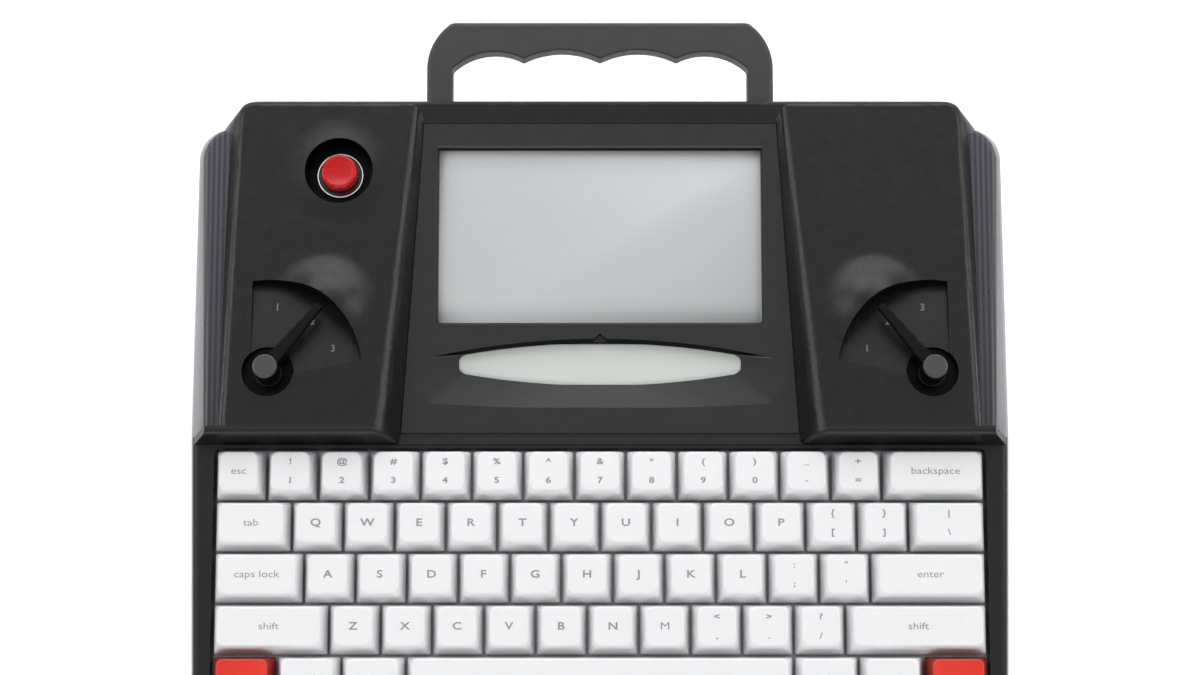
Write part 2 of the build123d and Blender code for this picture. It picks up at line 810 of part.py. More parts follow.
def swelling(radius, height):
    """Soft mound round Z: it rises out of the plane Z = 0 and closes without a crease."""
    bend = (radius**2 + height**2) / (4 * height)
    top = height - swell_sink
    turn = asin(radius / 2 / bend) / 2
    crown = (bend * sin(turn), top - bend * (1 - cos(turn)))
    with BuildPart() as mound:
        with BuildSketch(Plane.XZ):
            with BuildLine():
                ThreePointArc((0, top), crown, (radius / 2, height / 2 - swell_sink))
                ThreePointArc(
                    (radius / 2, height / 2 - swell_sink),
                    (radius - crown[0], height - 2 * swell_sink - crown[1]),
                    (radius, -swell_sink),
                )
                Polyline((radius, -swell_sink), (radius, -rest_gap), (0, -rest_gap), (0, top))
            make_face()
        revolve(axis=Axis.Z)
    return mound.part


# ------------------------------------------------------------------ rear cover
with BuildPart() as ledge:
    # the low rim of the cover, which lies on the shell's rim round the shoulders
    with BuildSketch() as ledge_outline:
        with BuildLine():
            Polyline(
                (-ledge_seam_half, front_y + seam_depth),
                (ledge_seam_half, front_y + seam_depth),
                (ledge_rear_half, front_y + shell_depth - ledge_back_inset),
                (-ledge_rear_half, front_y + shell_depth - ledge_back_inset),
                close=True,
            )
        make_face()
        fillet(ledge_outline.vertices().group_by(Axis.Y)[-1], ledge_radius)
    extrude(amount=body_top)
    split(bisect_by=deck_at(ledge_height - rim_drop), keep=Keep.BOTTOM)
    split(bisect_by=deck_at(-rim_drop), keep=Keep.TOP)
    ledge_top = ledge.faces().filter_by(deck_at(0)).sort_by(Axis.Z)[-1]
    fillet(ledge_top.edges().sort_by(Axis.Y)[1:], ledge_round)

with BuildPart() as hump:
    # the two shoulders in one piece, before the bay is cut out between them
    loft(
        [
            four_sided(
                deck_at(-rim_drop), hump_foot_seam_half, hump_foot_rear_half,
                up_deck(seam_depth, -rim_drop), up_deck(hump_foot_depth, -rim_drop),
                hump_foot_radius,
            ),
            four_sided(
                shoulder_at(0), hump_top_seam_half, hump_top_rear_half,
                up_shoulder(seam_depth, 0), up_shoulder(cover_depth, 0), hump_top_radius,
            ),
        ],
        ruled=True,
    )
    hump_top = hump.faces().filter_by(shoulder_at(0)).sort_by(Axis.Z)[-1]
    fillet(hump_top.edges().sort_by(Axis.Y)[1:], shoulder_round)

def shoulder_height(depth):
    """Height over the table of the shoulders' top at a depth."""
    return between(
        depth, seam_depth, shoulder_front_height, cover_depth, shoulder_rear_height
    )


def bay_face(depth):
    """Upright section of the space that the bay takes, its walls rolling over at the top."""
    floor_half = bay_half(depth)
    top_half = between(depth, seam_depth, bay_top_front_half, bay_top_depth, bay_top_rear_half)
    floor = deck_height(depth, 0)
    top = shoulder_height(depth) + bay_crease
    roll = between(depth, seam_depth, bay_front_round, bay_top_depth, bay_rear_round)
    out_half = top_half + 2 * roll
    with BuildSketch(upright(depth)) as section:
        with BuildLine():
            Polyline(
                (-floor_half, floor), (floor_half, floor), (top_half, top), (out_half, top),
                (out_half, body_top), (-out_half, body_top), (-out_half, top), (-top_half, top),
                close=True,
            )
        make_face()
        rolls = [v for v in section.vertices() if abs(abs(v.X) - top_half) < bay_crease]
        fillet(rolls, roll)
    return section.sketch.face()


with BuildPart() as bay:
    loft([bay_face(seam_depth - 1), bay_face(cover_depth)], ruled=True)
    # the bay's back wall leans back
    lean = atan(
        (bay_top_depth - bay_floor_depth)
        / (shoulder_height(bay_top_depth) - deck_height(bay_floor_depth, 0))
    )
    back_wall = Plane(
        origin=(0, front_y + bay_floor_depth, deck_height(bay_floor_depth, 0)),
        x_dir=(1, 0, 0),
        z_dir=(0, -cos(lean), sin(lean)),
    )
    split(bisect_by=back_wall, keep=Keep.TOP)

room_front = seam_depth + seam_wall
room_back = inner_back - piece_gap


def room_face(side, plane, up, level, inner_front, outer_front, inner_rear, outer_rear):
    """One side's hollow, cut by a plane: four corners and the plane's own distance scale."""
    with BuildSketch(plane) as room:
        with BuildLine():
            Polyline(
                (side * inner_front, up(room_front, level)),
                (side * outer_front, up(room_front, level)),
                (side * outer_rear, up(room_back, level)),
                (side * inner_rear, up(room_back, level)),
                close=True,
            )
        make_face()
        fillet(room.vertices(), room_radius)
    return room.sketch.face()


def shoulder_room(side):
    """Hollow under a shoulder, open below."""
    roof = -cover_wall
    low = -rim_drop - cut_past
    with BuildPart() as room:
        loft(
            [
                room_face(
                    side, deck_at(low), up_deck, low,
                    bay_floor_front_half + cover_wall,
                    hump_foot_seam_half - cover_wall,
                    bay_floor_rear_half + cover_wall,
                    hump_foot_rear_half - cover_wall - hump_foot_radius / 4,
                ),
                room_face(
                    side, shoulder_at(roof), up_shoulder, roof,
                    bay_top_front_half + cover_wall,
                    hump_top_seam_half - cover_wall - room_top_inset,
                    bay_top_rear_half + cover_wall,
                    hump_top_rear_half - cover_wall - room_top_inset,
                ),
            ],
            ruled=True,
        )
        # the walls of the dial's pocket and of both wells stay standing in it
        add(fan_block(side, pocket_wall), mode=Mode.SUBTRACT)
        with Locations(dial_plane(side, 0)):
            add(
                bore(
                    dial_well_radius + pocket_wall, -dial_well_depth - pocket_wall, cut_past
                ),
                mode=Mode.SUBTRACT,
            )
        if side < 0:
            with Locations(button_plane):
                add(
                    bore(
                        button_well_radius + pocket_wall,
                        -button_well_depth - pocket_wall, cut_past,
                    ),
                    mode=Mode.SUBTRACT,
                )
    return room.part


button_plane = Plane(
    origin=shoulder_at(0).from_local_coords(Vector(-button_half, button_up, 0)),
    x_dir=(1, 0, 0),
    z_dir=shoulder_up,
)
rooms = [shoulder_room(side) for side in (-1, 1)]

with BuildPart() as rear_cover:
    add(ledge.part)
    add(hump.part)
    add(bay.part, mode=Mode.SUBTRACT)
    with Locations([
        dial_plane(side, 0, fan_middle_angle) * Pos(hood_reach, 0) for side in (-1, 1)
    ]):
        add(swelling(hood_radius, hood_height))
    with Locations(button_plane):
        add(swelling(button_swell_radius, button_swell_height))
    for side, room in zip((-1, 1), rooms):
        add(room, mode=Mode.SUBTRACT)
        add(fan_block(side, 0), mode=Mode.SUBTRACT)
        with Locations(dial_plane(side, 0)):
            add(bore(dial_well_radius, -dial_well_depth, hood_height), mode=Mode.SUBTRACT)
            add(bore(bushing_radius + screw_gap, -fan_radius / 2, 0), mode=Mode.SUBTRACT)
    with Locations(button_plane):
        add(bore(button_well_radius, -button_well_depth, hood_height), mode=Mode.SUBTRACT)
        add(
            bore(button_barrel_radius + screw_gap, -fan_radius / 2, 0), mode=Mode.SUBTRACT
        )
    # bed for the bezel and window for the display
    bezel_front = seam_depth + bezel_front_margin
    bezel_back = bay_floor_depth - bezel_back_margin
    extrude(
        four_sided(
            deck_at(0), bay_half(bezel_front), bay_half(bezel_back),
            up_deck(bezel_front, 0), up_deck(bezel_back, 0),
        ),
        amount=-bezel_thickness, mode=Mode.SUBTRACT,
    )
    with BuildSketch(deck_at(0)):
        with Locations((0, (panel_front + panel_back) / 2)):
            Rectangle(2 * (panel_half + panel_gap), panel_back - panel_front + 2 * panel_gap)
    extrude(amount=-rim_drop - cut_past, mode=Mode.SUBTRACT)
    # bosses beside the bay for the display carrier's screws
    with Locations([deck_at(-rim_drop) * Pos(x, up) for x, up in carrier_screw_spots]):
        add(bore(carrier_boss_radius, 0, carrier_boss_height))
        add(bore(small_screw_radius, -cut_past, small_screw_length - carrier_thickness),
            mode=Mode.SUBTRACT)
    with Locations([deck_at(-rim_drop) * Pos(x, up) for x, up in cover_screw_spots]):
        add(bore(screw_radius, -cut_past, screw_length - flange_thickness), mode=Mode.SUBTRACT)
    with Locations([
        upright(room_front) * Pos(side * x, seam_screw_height)
        for x in seam_screw_spots for side in (-1, 1)
    ]):
        add(
            bore(small_screw_radius + screw_gap, -cut_past, seam_wall + cut_past),
            mode=Mode.SUBTRACT,
        )
finish(rear_cover, "rear_cover")

# ------------------------------------------------------------------ display
def window_face(level, half, end, end_half, front, middle, back):
    """Long rounded window: four arcs, its ends tighter than its long sides."""
    side = half - end
    low, high = middle - end_half, middle + end_half
    with BuildSketch(deck_at(level)) as window:
        with BuildLine():
            ThreePointArc((-side, low), (0, front), (side, low))
            ThreePointArc((side, low), (half, middle), (side, high))
            ThreePointArc((side, high), (0, back), (-side, high))
            ThreePointArc((-side, high), (-half, middle), (-side, low))
        make_face()
    return window.sketch.face()


status_middle = (status_front + status_back) / 2

with BuildPart() as display_bezel:
    extrude(
        four_sided(
            deck_at(0), bay_half(bezel_front) - piece_gap, bay_half(bezel_back) - piece_gap,
            up_deck(bezel_front + piece_gap, 0), up_deck(bezel_back - piece_gap, 0),
        ),
        amount=-bezel_thickness,
    )
    with BuildSketch(deck_at(0)):
        with Locations((0, (screen_front + screen_back) / 2)):
            Rectangle(2 * screen_half, screen_back - screen_front)
    extrude(amount=-bezel_thickness, mode=Mode.SUBTRACT)
    screen_rim = [
        edge
        for edge in display_bezel.faces().filter_by(deck_at(0)).sort_by(Axis.Z)[-1].edges()
        if abs(edge.center().X) < screen_half + touch
        and screen_front - touch
        < deck_at(0).to_local_coords(edge.center()).Y
        < screen_back + touch
    ]
    chamfer(screen_rim, screen_bevel)
    loft(
        [
            window_face(
                0, funnel_half, funnel_end, funnel_end_half, funnel_front, funnel_middle,
                funnel_back,
            ),
            window_face(
                status_lip - bezel_thickness, status_half, status_end, status_end_half,
                status_front, status_middle, status_back,
            ),
        ],
        ruled=True, mode=Mode.SUBTRACT,
    )
    extrude(
        window_face(
            0, status_half, status_end, status_end_half, status_front, status_middle,
            status_back,
        ),
        amount=-bezel_thickness, mode=Mode.SUBTRACT,
    )
    with BuildSketch(deck_at(0)):
        with BuildLine():
            Polyline(
                (-notch_half, funnel_back - cut_past), (0, notch_tip),
                (notch_half, funnel_back - cut_past),
                close=True,
            )
        make_face()
    extrude(amount=status_lip - bezel_thickness, mode=Mode.SUBTRACT)
finish(display_bezel, "display_bezel")

with BuildPart() as display_panel:
    with BuildSketch(deck_at(-bezel_thickness)):
        with Locations((0, (panel_front + panel_back) / 2)):
            Rectangle(2 * panel_half, panel_back - panel_front)
    extrude(amount=-panel_thickness)
finish(display_panel, "display_panel")


def carrier_half(depth):
    """Half width of the display carrier at a depth: out past its screws."""
    return bay_half(depth) + cover_wall + 2 * carrier_boss_radius


with BuildPart() as display_carrier:
    extrude(
        four_sided(
            deck_at(-rim_drop), carrier_half(carrier_front), carrier_half(carrier_back),
            up_deck(carrier_front, -rim_drop), up_deck(carrier_back, -rim_drop),
        ),
        amount=-carrier_thickness,
    )
    with BuildSketch(deck_at(-rim_drop)):
        with Locations((display_ribbon_x, (ribbon_slot_front + ribbon_slot_back) / 2)):
            Rectangle(ribbon_width + 2 * ribbon_slot_gap, ribbon_slot_back - ribbon_slot_front)
        with Locations([(x, up) for x, up in carrier_screw_spots]):
            Circle(small_screw_radius + screw_gap)
    extrude(amount=-carrier_thickness, mode=Mode.SUBTRACT)
finish(display_carrier, "display_carrier")

with BuildPart() as carrier_screws:
    with Locations([
        deck_at(-rim_drop - carrier_thickness) * Pos(x, up) for x, up in carrier_screw_spots
    ]):
        add(small_screw)
finish(carrier_screws, "carrier_screws")


def ribbon(x, start_depth, start_height):
    """Flat cable: straight down from a start under the deck, then back onto the main board."""
    lie = board_top + ribbon_thickness / 2
    with BuildPart() as strip:
        with BuildSketch(Plane.YZ.offset(x - ribbon_width / 2)):
            with BuildLine():
                FilletPolyline(
                    (front_y + start_depth, start_height),
                    (front_y + start_depth, lie),
                    (front_y + main_board_front + connector_set, lie),
                    radius=ribbon_bend,
                )
            trace(line_width=ribbon_thickness)
        extrude(amount=ribbon_width)
    return strip


ribbon_up = (ribbon_slot_front + ribbon_slot_back) / 2
display_ribbon_depth = depth_of(ribbon_up, -rim_drop)
display_ribbon = ribbon(
    display_ribbon_x, display_ribbon_depth,
    deck_height(display_ribbon_depth, -bezel_thickness - panel_thickness) - ribbon_thickness / 2,
)
finish(display_ribbon, "display_ribbon")

board_under = plate_drop + switch_lower + board_thickness
keyboard_ribbon_depth = depth_of(keyboard_ribbon_start, -board_under)
keyboard_ribbon = ribbon(
    keyboard_ribbon_x, keyboard_ribbon_depth,
    deck_height(keyboard_ribbon_depth, -board_under) - ribbon_thickness / 2,
)
finish(keyboard_ribbon, "keyboard_ribbon")

# ------------------------------------------------------------------ keyboard
# One row of keys after another, from the front: each key's piece and its width in key pitches.
key_layout = (
    (
        ("left_red_key", 1.25), ("left_outer_modifier_key", 1.25),
        ("left_inner_modifier_key", 1.25), ("space_bar", 7.5),
        ("right_inner_modifier_key", 1.25), ("right_outer_modifier_key", 1.25),
        ("right_red_key", 1.25),
    ),
    (("left_shift_key", 2.25), *(("bottom_letter_keys", 1),) * 10, ("right_shift_key", 2.75)),
    (("caps_key", 1.75), *(("home_letter_keys", 1),) * 11, ("enter_key", 2.25)),
    (("tab_key", 1.5), *(("top_letter_keys", 1),) * 12, ("backslash_key", 1.5)),
    (("escape_key", 1), *(("number_keys", 1),) * 12, ("backspace_key", 2)),
)

keys = []
for row, pieces in enumerate(key_layout):
    key_x = -key_columns * key_pitch / 2
    for key_name, units in pieces:
        middle = (key_x + units * key_pitch / 2, key_field_front + (row + 0.5) * key_pitch)
        keys.append((key_name, middle, units, row == key_rows - 1))
        key_x += units * key_pitch


def outer_stem_reach(units):
    """Middle of a long key to its outer stems, or nothing for a short key."""
    if units < long_key:
        return 0
    return space_bar_reach if units > longest_key else stabiliser_reach


stabiliser_spots = [
    (x + side * outer_stem_reach(units), up)
    for key_name, (x, up), units, tall in keys
    if outer_stem_reach(units)
    for side in (-1, 1)
]
switch_spots = [middle for key_name, middle, units, tall in keys]


def keycap(units, tall):
    """Hollow keycap with its stems, its foot on the plane Z = 0."""
    height = cap_height + (cap_extra_last_row if tall else 0)
    foot = (units * key_pitch - cap_gap, key_pitch - cap_gap)
    top = (foot[0] - 2 * cap_side_slope, foot[1] - cap_front_slope - cap_back_slope)
    shift = (cap_front_slope - cap_back_slope) / 2
    dish = cap_dish_depth if units < longest_key else 0
    roof = height - dish - cap_wall
    with BuildPart() as cap:
        with BuildSketch():
            RectangleRounded(*foot, cap_foot_round)
        with BuildSketch(Plane.XY.offset(height)):
            with Locations((0, shift)):
                RectangleRounded(*top, cap_top_round)
        loft(ruled=True)
        if dish:
            chord = top[0] / 2 - cap_dish_rim
            scoop = (chord**2 + dish**2) / (2 * dish)
            with Locations((0, 0, height - dish + scoop)):
                Cylinder(scoop, 2 * key_pitch, rotation=(90, 0, 0), mode=Mode.SUBTRACT)
        with BuildSketch():
            RectangleRounded(
                foot[0] - 2 * cap_wall, foot[1] - 2 * cap_wall, cap_foot_round
            )
        with BuildSketch(Plane.XY.offset(roof)):
            with Locations((0, shift)):
                RectangleRounded(
                    top[0] - 2 * cap_wall, top[1] - 2 * cap_wall, cap_top_round - cap_wall / 2
                )
        loft(ruled=True, mode=Mode.SUBTRACT)
        add(bore(stem_radius, -stem_reach, roof))
        for side in (-1, 1):
            if outer_stem_reach(units):
                with Locations((side * outer_stem_reach(units), 0)):
                    add(bore(stabiliser_stem_radius, -stem_reach, roof))
    return cap.part


cap_parts = {
    kind: keycap(*kind) for kind in sorted({(units, tall) for name, middle, units, tall in keys})
}
cap_level = cap_lift - plate_drop
for piece_name in dict.fromkeys(key_name for key_name, middle, units, tall in keys):
    with BuildPart() as key_piece:
        for key_name, middle, units, tall in keys:
            if key_name == piece_name:
                with Locations(deck_at(cap_level) * Pos(*middle)):
                    add(cap_parts[units, tall])
    finish(key_piece, piece_name)

stem_drop = cap_lift - stem_reach - key_travel - travel_room     # bore's foot, from the plate

with BuildPart() as one_switch:
    Box(
        switch_body, switch_body, switch_lower, align=(Align.CENTER, Align.CENTER, Align.MAX)
    )
    Box(
        switch_flange, switch_flange, switch_flange_height,
        align=(Align.CENTER, Align.CENTER, Align.MIN),
    )
    with BuildSketch(Plane.XY.offset(switch_flange_height)):
        Rectangle(switch_waist, switch_waist)
    with BuildSketch(Plane.XY.offset(switch_upper)):
        Rectangle(switch_neck, switch_neck)
    loft(ruled=True)
    add(bore(stem_radius + stem_gap, stem_drop, switch_upper + cut_past), mode=Mode.SUBTRACT)

with BuildPart() as key_switches:
    with Locations([deck_at(-plate_drop) * Pos(*spot) for spot in switch_spots]):
        add(one_switch.part)
finish(key_switches, "key_switches")

with BuildPart() as one_stabiliser:
    Box(
        stabiliser_width, stabiliser_depth, switch_lower,
        align=(Align.CENTER, Align.CENTER, Align.MAX),
    )
    Box(
        stabiliser_width + 2 * stabiliser_flange, stabiliser_depth + 2 * stabiliser_flange,
        switch_flange_height, align=(Align.CENTER, Align.CENTER, Align.MIN),
    )
    Box(
        stabiliser_width, stabiliser_depth, stabiliser_upper,
        align=(Align.CENTER, Align.CENTER, Align.MIN),
    )
    add(
        bore(stabiliser_stem_radius + stem_gap, stem_drop, stabiliser_upper + cut_past),
        mode=Mode.SUBTRACT,
    )

with BuildPart() as stabiliser_housings:
    with Locations([deck_at(-plate_drop) * Pos(*spot) for spot in stabiliser_spots]):
        add(one_stabiliser.part)
finish(stabiliser_housings, "stabiliser_housings")

plate_half = skirt_half + rest_gap
plate_front = frame_boss_up - frame_boss_radius
plate_back = well_back + skirt_wall + rest_gap

with BuildPart() as switch_plate:
    with BuildSketch(deck_at(-plate_drop)):
        with Locations((0, (plate_front + plate_back) / 2)):
            RectangleRounded(2 * plate_half, plate_back - plate_front, plate_corner_radius)
        with Locations(switch_spots):
            Rectangle(
                switch_body + 2 * plate_hole_gap, switch_body + 2 * plate_hole_gap,
                mode=Mode.SUBTRACT,
            )
        with Locations(stabiliser_spots):
            Rectangle(
                stabiliser_width + 2 * plate_hole_gap, stabiliser_depth + 2 * plate_hole_gap,
                mode=Mode.SUBTRACT,
            )
        with Locations(post_spots + frame_screw_spots):
            Circle(small_screw_radius + screw_gap, mode=Mode.SUBTRACT)
    extrude(amount=-plate_thickness)
finish(switch_plate, "switch_plate")

with BuildPart() as keyboard_board:
    with BuildSketch(deck_at(-plate_drop - switch_lower)):
        with Locations((0, well_middle)):
            Rectangle(2 * (well_half - board_edge), well_back - well_front - board_edge)
        with Locations([
            (x, up_deck(depth_of(up, -plate_under), -board_under)) for x, up in post_spots
        ]):
            Circle(post_radius + post_hole_gap, mode=Mode.SUBTRACT)
    extrude(amount=-board_thickness)
finish(keyboard_board, "keyboard_board")

head_down = Rotation(180, 0, 0)
with BuildPart() as keyboard_screws:
    # from above into the base plate's posts, from below into the frame, and through the seam
    with Locations([deck_at(-plate_drop) * Pos(x, up) * head_down for x, up in post_spots]):
        add(small_screw)
    with Locations([deck_at(-plate_under) * Pos(x, up) for x, up in frame_screw_spots]):
        add(small_screw)
    with Locations([
        upright(room_front) * Pos(side * x, seam_screw_height)
        for x in seam_screw_spots for side in (-1, 1)
    ]):
        add(small_screw)
finish(keyboard_screws, "keyboard_screws")

# ------------------------------------------------------------------ push button
button_floor = -button_well_depth
button_flange_radius = button_ring_radius - button_ring_wall - screw_gap
button_bore_foot = -button_length - button_travel - travel_room

with BuildPart() as power_switch_body:
    with Locations(button_plane):
        add(bore(button_flange_radius, button_floor, button_floor + button_flange_height))
        add(bore(button_barrel_radius, button_floor - button_barrel_length, button_floor))
        add(
            bore(button_radius + button_clearance, button_bore_foot, 0), mode=Mode.SUBTRACT
        )
    with BuildSketch(button_plane.offset(button_floor - button_barrel_length)):
        with Locations((-button_radius / 2, 0), (button_radius / 2, 0)):
            Rectangle(terminal_thickness, terminal_width)
    extrude(amount=-terminal_length)
finish(power_switch_body, "power_switch_body")

with BuildPart() as power_switch_ring:
    with BuildSketch(button_plane.offset(button_floor)):
        Circle(button_ring_radius)
        Circle(button_ring_radius - button_ring_wall, mode=Mode.SUBTRACT)
    extrude(amount=button_ring_height)
    fillet(
        power_switch_ring.edges().filter_by(GeomType.CIRCLE).group_by(Axis.Z)[-1],
        button_ring_wall / 3,
    )
finish(power_switch_ring, "power_switch_ring")

with BuildPart() as power_switch_nut:
    with BuildSketch(button_plane.offset(button_floor - pocket_wall)):
        RegularPolygon(button_nut_size / 2, 6, major_radius=False)
        Circle(button_barrel_radius, mode=Mode.SUBTRACT)
    extrude(amount=-button_nut_height)
finish(power_switch_nut, "power_switch_nut")

with BuildPart() as power_button_cap:
    with Locations(button_plane):
        add(bore(button_radius, -button_length, 0))
    fillet(power_button_cap.edges().group_by(Axis.Z)[-1], button_edge_round)
finish(power_button_cap, "power_button_cap")

# ------------------------------------------------------------------ selector dials


def selector_pieces(side, name):
    """Write one dial's lever, its cap, its shaft and the switch that it turns."""
    hub = dial_plane(side, 0, lever_angle)
    switch_top = -dial_well_depth - pocket_wall
    with BuildPart() as lever:
        with BuildSketch(hub.offset(lever_foot)):
            with BuildLine():
                Polyline(
                    (0, -lever_root_width / 2), (lever_reach, -lever_tip_width / 2),
                    (lever_reach, lever_tip_width / 2), (0, lever_root_width / 2),
                    close=True,
                )
            make_face()
        extrude(amount=lever_root_top - lever_foot)
        fall = atan((lever_root_top - lever_tip_top) / lever_reach)
        split(
            bisect_by=Plane(
                origin=hub.offset(lever_root_top).origin,
                z_dir=hub.z_dir * cos(fall) + hub.x_dir * sin(fall),
            ),
            keep=Keep.BOTTOM,
        )
        fillet(lever.edges(), lever_edge_round)
        with Locations(hub):
            add(bore(lever_hub_radius, -lever_hub_foot, lever_hub_top))
            add(bore(shaft_radius, -lever_hub_foot - 1, shaft_top), mode=Mode.SUBTRACT)
    finish(lever, f"{name}_selector_lever")

    with BuildPart() as cap:
        with Locations(hub):
            add(bore(lever_cap_radius, lever_hub_top, lever_hub_top + lever_cap_height))
        top_edge = cap.edges().filter_by(GeomType.CIRCLE).sort_by(Axis.Z)[-1]
        fillet(top_edge, lever_cap_height / 2)
    finish(cap, f"{name}_lever_cap")

    with BuildPart() as shaft:
        with Locations(hub):
            add(bore(shaft_radius, -shaft_foot, shaft_top))
    finish(shaft, f"{name}_selector_shaft")

    square = dial_plane(side, switch_top)
    with BuildPart() as switch:
        with BuildSketch(square):
            Rectangle(selector_size, selector_size)
        extrude(amount=-selector_height)
        with Locations(dial_plane(side, 0)):
            add(bore(bushing_radius, switch_top, -lever_hub_foot - rest_gap))
            add(
                bore(shaft_radius + shaft_clearance, -shaft_foot - bore_room, 0),
                mode=Mode.SUBTRACT,
            )
    finish(switch, f"{name}_selector_switch")


selector_pieces(-1, "left")
selector_pieces(1, "right")

# ------------------------------------------------------------------ carrying handle
leg_end = up_deck(shell_depth, handle_middle) - handle_inner
scallop_up = handle_back - handle_bar
inner_half = handle_half - handle_leg

with BuildPart() as carry_handle:
    with BuildSketch(deck_at(handle_middle)) as handle_outline:
        with BuildLine():
            corner_foot = handle_back - handle_corner_length
            bar_half = handle_half - handle_corner_width
            Line((-bar_half, handle_back), (bar_half, handle_back))
            for side in (-1, 1):
                Polyline(
                    (side * inner_half, scallop_up - handle_shoulder),
                    (side * inner_half, leg_end), (side * handle_half, leg_end),
                    (side * handle_half, corner_foot),
                )
                TangentArc(
                    (side * handle_half, corner_foot), (side * bar_half, handle_back),
                    tangent=(0, 1),
                )
                ThreePointArc(
                    (side * inner_half, scallop_up - handle_shoulder),
                    (side * (inner_half + scallop_pitch) / 2, scallop_up - handle_cusp / 4),
                    (side * scallop_pitch, scallop_up - handle_cusp),
                )
                ThreePointArc(
                    (side * scallop_pitch, scallop_up - handle_cusp),
                    (side * scallop_pitch / 2, scallop_up),
                    (0, scallop_up - handle_cusp),
                )
        make_face()
        fillet(handle_outline.vertices().group_by(Axis.Y)[-1], handle_corner_round)
    extrude(amount=handle_thickness / 2, both=True)
    outer_edges = [
        edge
        for edge in carry_handle.edges()
        if abs(deck_at(handle_middle).to_local_coords(edge.center()).Z)
        > handle_thickness / 2 - touch
        and (
            abs(edge.center().X) > handle_half - touch
            or deck_at(handle_middle).to_local_coords(edge.center()).Y > scallop_up + touch
        )
    ]
    fillet(outer_edges, handle_edge_round)
finish(carry_handle, "carry_handle")

with BuildPart() as handle_stop_bar:
    with BuildSketch(deck_at(handle_middle)):
        with Locations((0, leg_end - stop_bar_width / 2)):
            Rectangle(2 * handle_half, stop_bar_width)
    extrude(amount=handle_thickness / 2, both=True)
finish(handle_stop_bar, "handle_stop_bar")

guide_start = leg_end + rest_gap
for guide_side, guide_name in ((-1, "handle_guide_left"), (1, "handle_guide_right")):
    with BuildPart() as guide:
        with BuildSketch(deck_at(handle_middle)):
            with Locations((guide_side * leg_x, guide_start + handle_inner / 2)):
                Rectangle(2 * guide_half_width, handle_inner)
        extrude(amount=guide_half_height, both=True)
        split(bisect_by=upright(inner_back), keep=Keep.TOP)
        with BuildSketch(upright(inner_back)):
            with Locations((guide_side * leg_x, guide_height)):
                Rectangle(2 * (guide_half_width + guide_flange_reach), guide_flange_height)
        extrude(amount=guide_flange)
        with BuildSketch(deck_at(handle_middle)):
            with Locations((guide_side * leg_x, guide_start + handle_inner / 2)):
                Rectangle(handle_leg + 2 * handle_fit, 2 * handle_inner)
        extrude(amount=handle_thickness / 2 + handle_fit, both=True, mode=Mode.SUBTRACT)
        with BuildSketch(upright(inner_back)):
            with Locations([spot for spot in guide_screw_spots if spot[0] * guide_side > 0]):
                Circle(screw_radius)
        extrude(amount=guide_flange, mode=Mode.SUBTRACT)
    finish(guide, guide_name)

with BuildPart() as guide_screws:
    with Locations([
        upright(shell_depth - screw_head_height) * Pos(*spot) for spot in guide_screw_spots
    ]):
        add(case_screw)
finish(guide_screws, "guide_screws")

# ------------------------------------------------------------------ battery and electronics
battery_y = front_y + battery_depth

with BuildPart() as battery_pack:
    with BuildSketch(Plane.XY.offset(inner_floor)):
        with Locations((battery_x, battery_y)):
            RectangleRounded(battery_width, battery_length, battery_round)
    extrude(amount=battery_height)
finish(battery_pack, "battery_pack")

with BuildPart() as battery_strap:
    foot_lie = inner_floor + strap_boss_height + strap_thickness / 2
    top_lie = inner_floor + battery_height + strap_thickness / 2
    leg_half = battery_width / 2 + rest_gap + strap_thickness / 2
    with BuildSketch(upright(battery_depth - strap_width / 2)):
        with BuildLine():
            Polyline(
                (battery_x - leg_half - strap_foot, foot_lie), (battery_x - leg_half, foot_lie),
                (battery_x - leg_half, top_lie), (battery_x + leg_half, top_lie),
                (battery_x + leg_half, foot_lie), (battery_x + leg_half + strap_foot, foot_lie),
            )
        trace(line_width=strap_thickness)
    extrude(amount=-strap_width)
    with Locations([(x, y, foot_lie) for x, y in strap_screw_spots]):
        add(
            bore(small_screw_radius + screw_gap, -strap_thickness, strap_thickness),
            mode=Mode.SUBTRACT,
        )
finish(battery_strap, "battery_strap")

connector_middle = main_board_front + connector_set + connector_length / 2

with BuildPart() as main_board:
    with BuildSketch(Plane.XY.offset(board_level)):
        with Locations((main_board_x, front_y + board_middle_depth)):
            Rectangle(2 * main_board_half, main_board_back - main_board_front)
        with Locations(board_screw_spots):
            Circle(small_screw_radius + screw_gap, mode=Mode.SUBTRACT)
    extrude(amount=board_thickness)
    with BuildSketch(Plane.XY.offset(board_top)):
        with Locations((main_board_x + chip_size, front_y + chip_depth)):
            Rectangle(chip_size, chip_size)
    extrude(amount=chip_height)
    with BuildSketch(Plane.XY.offset(board_top)):
        for ribbon_x in (display_ribbon_x, keyboard_ribbon_x):
            with Locations((ribbon_x, front_y + connector_middle)):
                Rectangle(ribbon_width + 2 * piece_gap, connector_length)
    extrude(amount=connector_height)
finish(main_board, "main_board")

with BuildPart() as board_screws:
    with Locations([Pos(x, y, board_top) * head_down for x, y in board_screw_spots]):
        add(small_screw)
    strap_top = inner_floor + strap_boss_height + strap_thickness
    with Locations([Pos(x, y, strap_top) * head_down for x, y in strap_screw_spots]):
        add(small_screw)
finish(board_screws, "board_screws")

with BuildPart() as wireless_module:
    with BuildSketch(Plane.XY.offset(board_top)):
        with Locations((module_x, front_y + module_depth)):
            Rectangle(module_width, module_length)
    extrude(amount=module_height)
finish(wireless_module, "wireless_module")

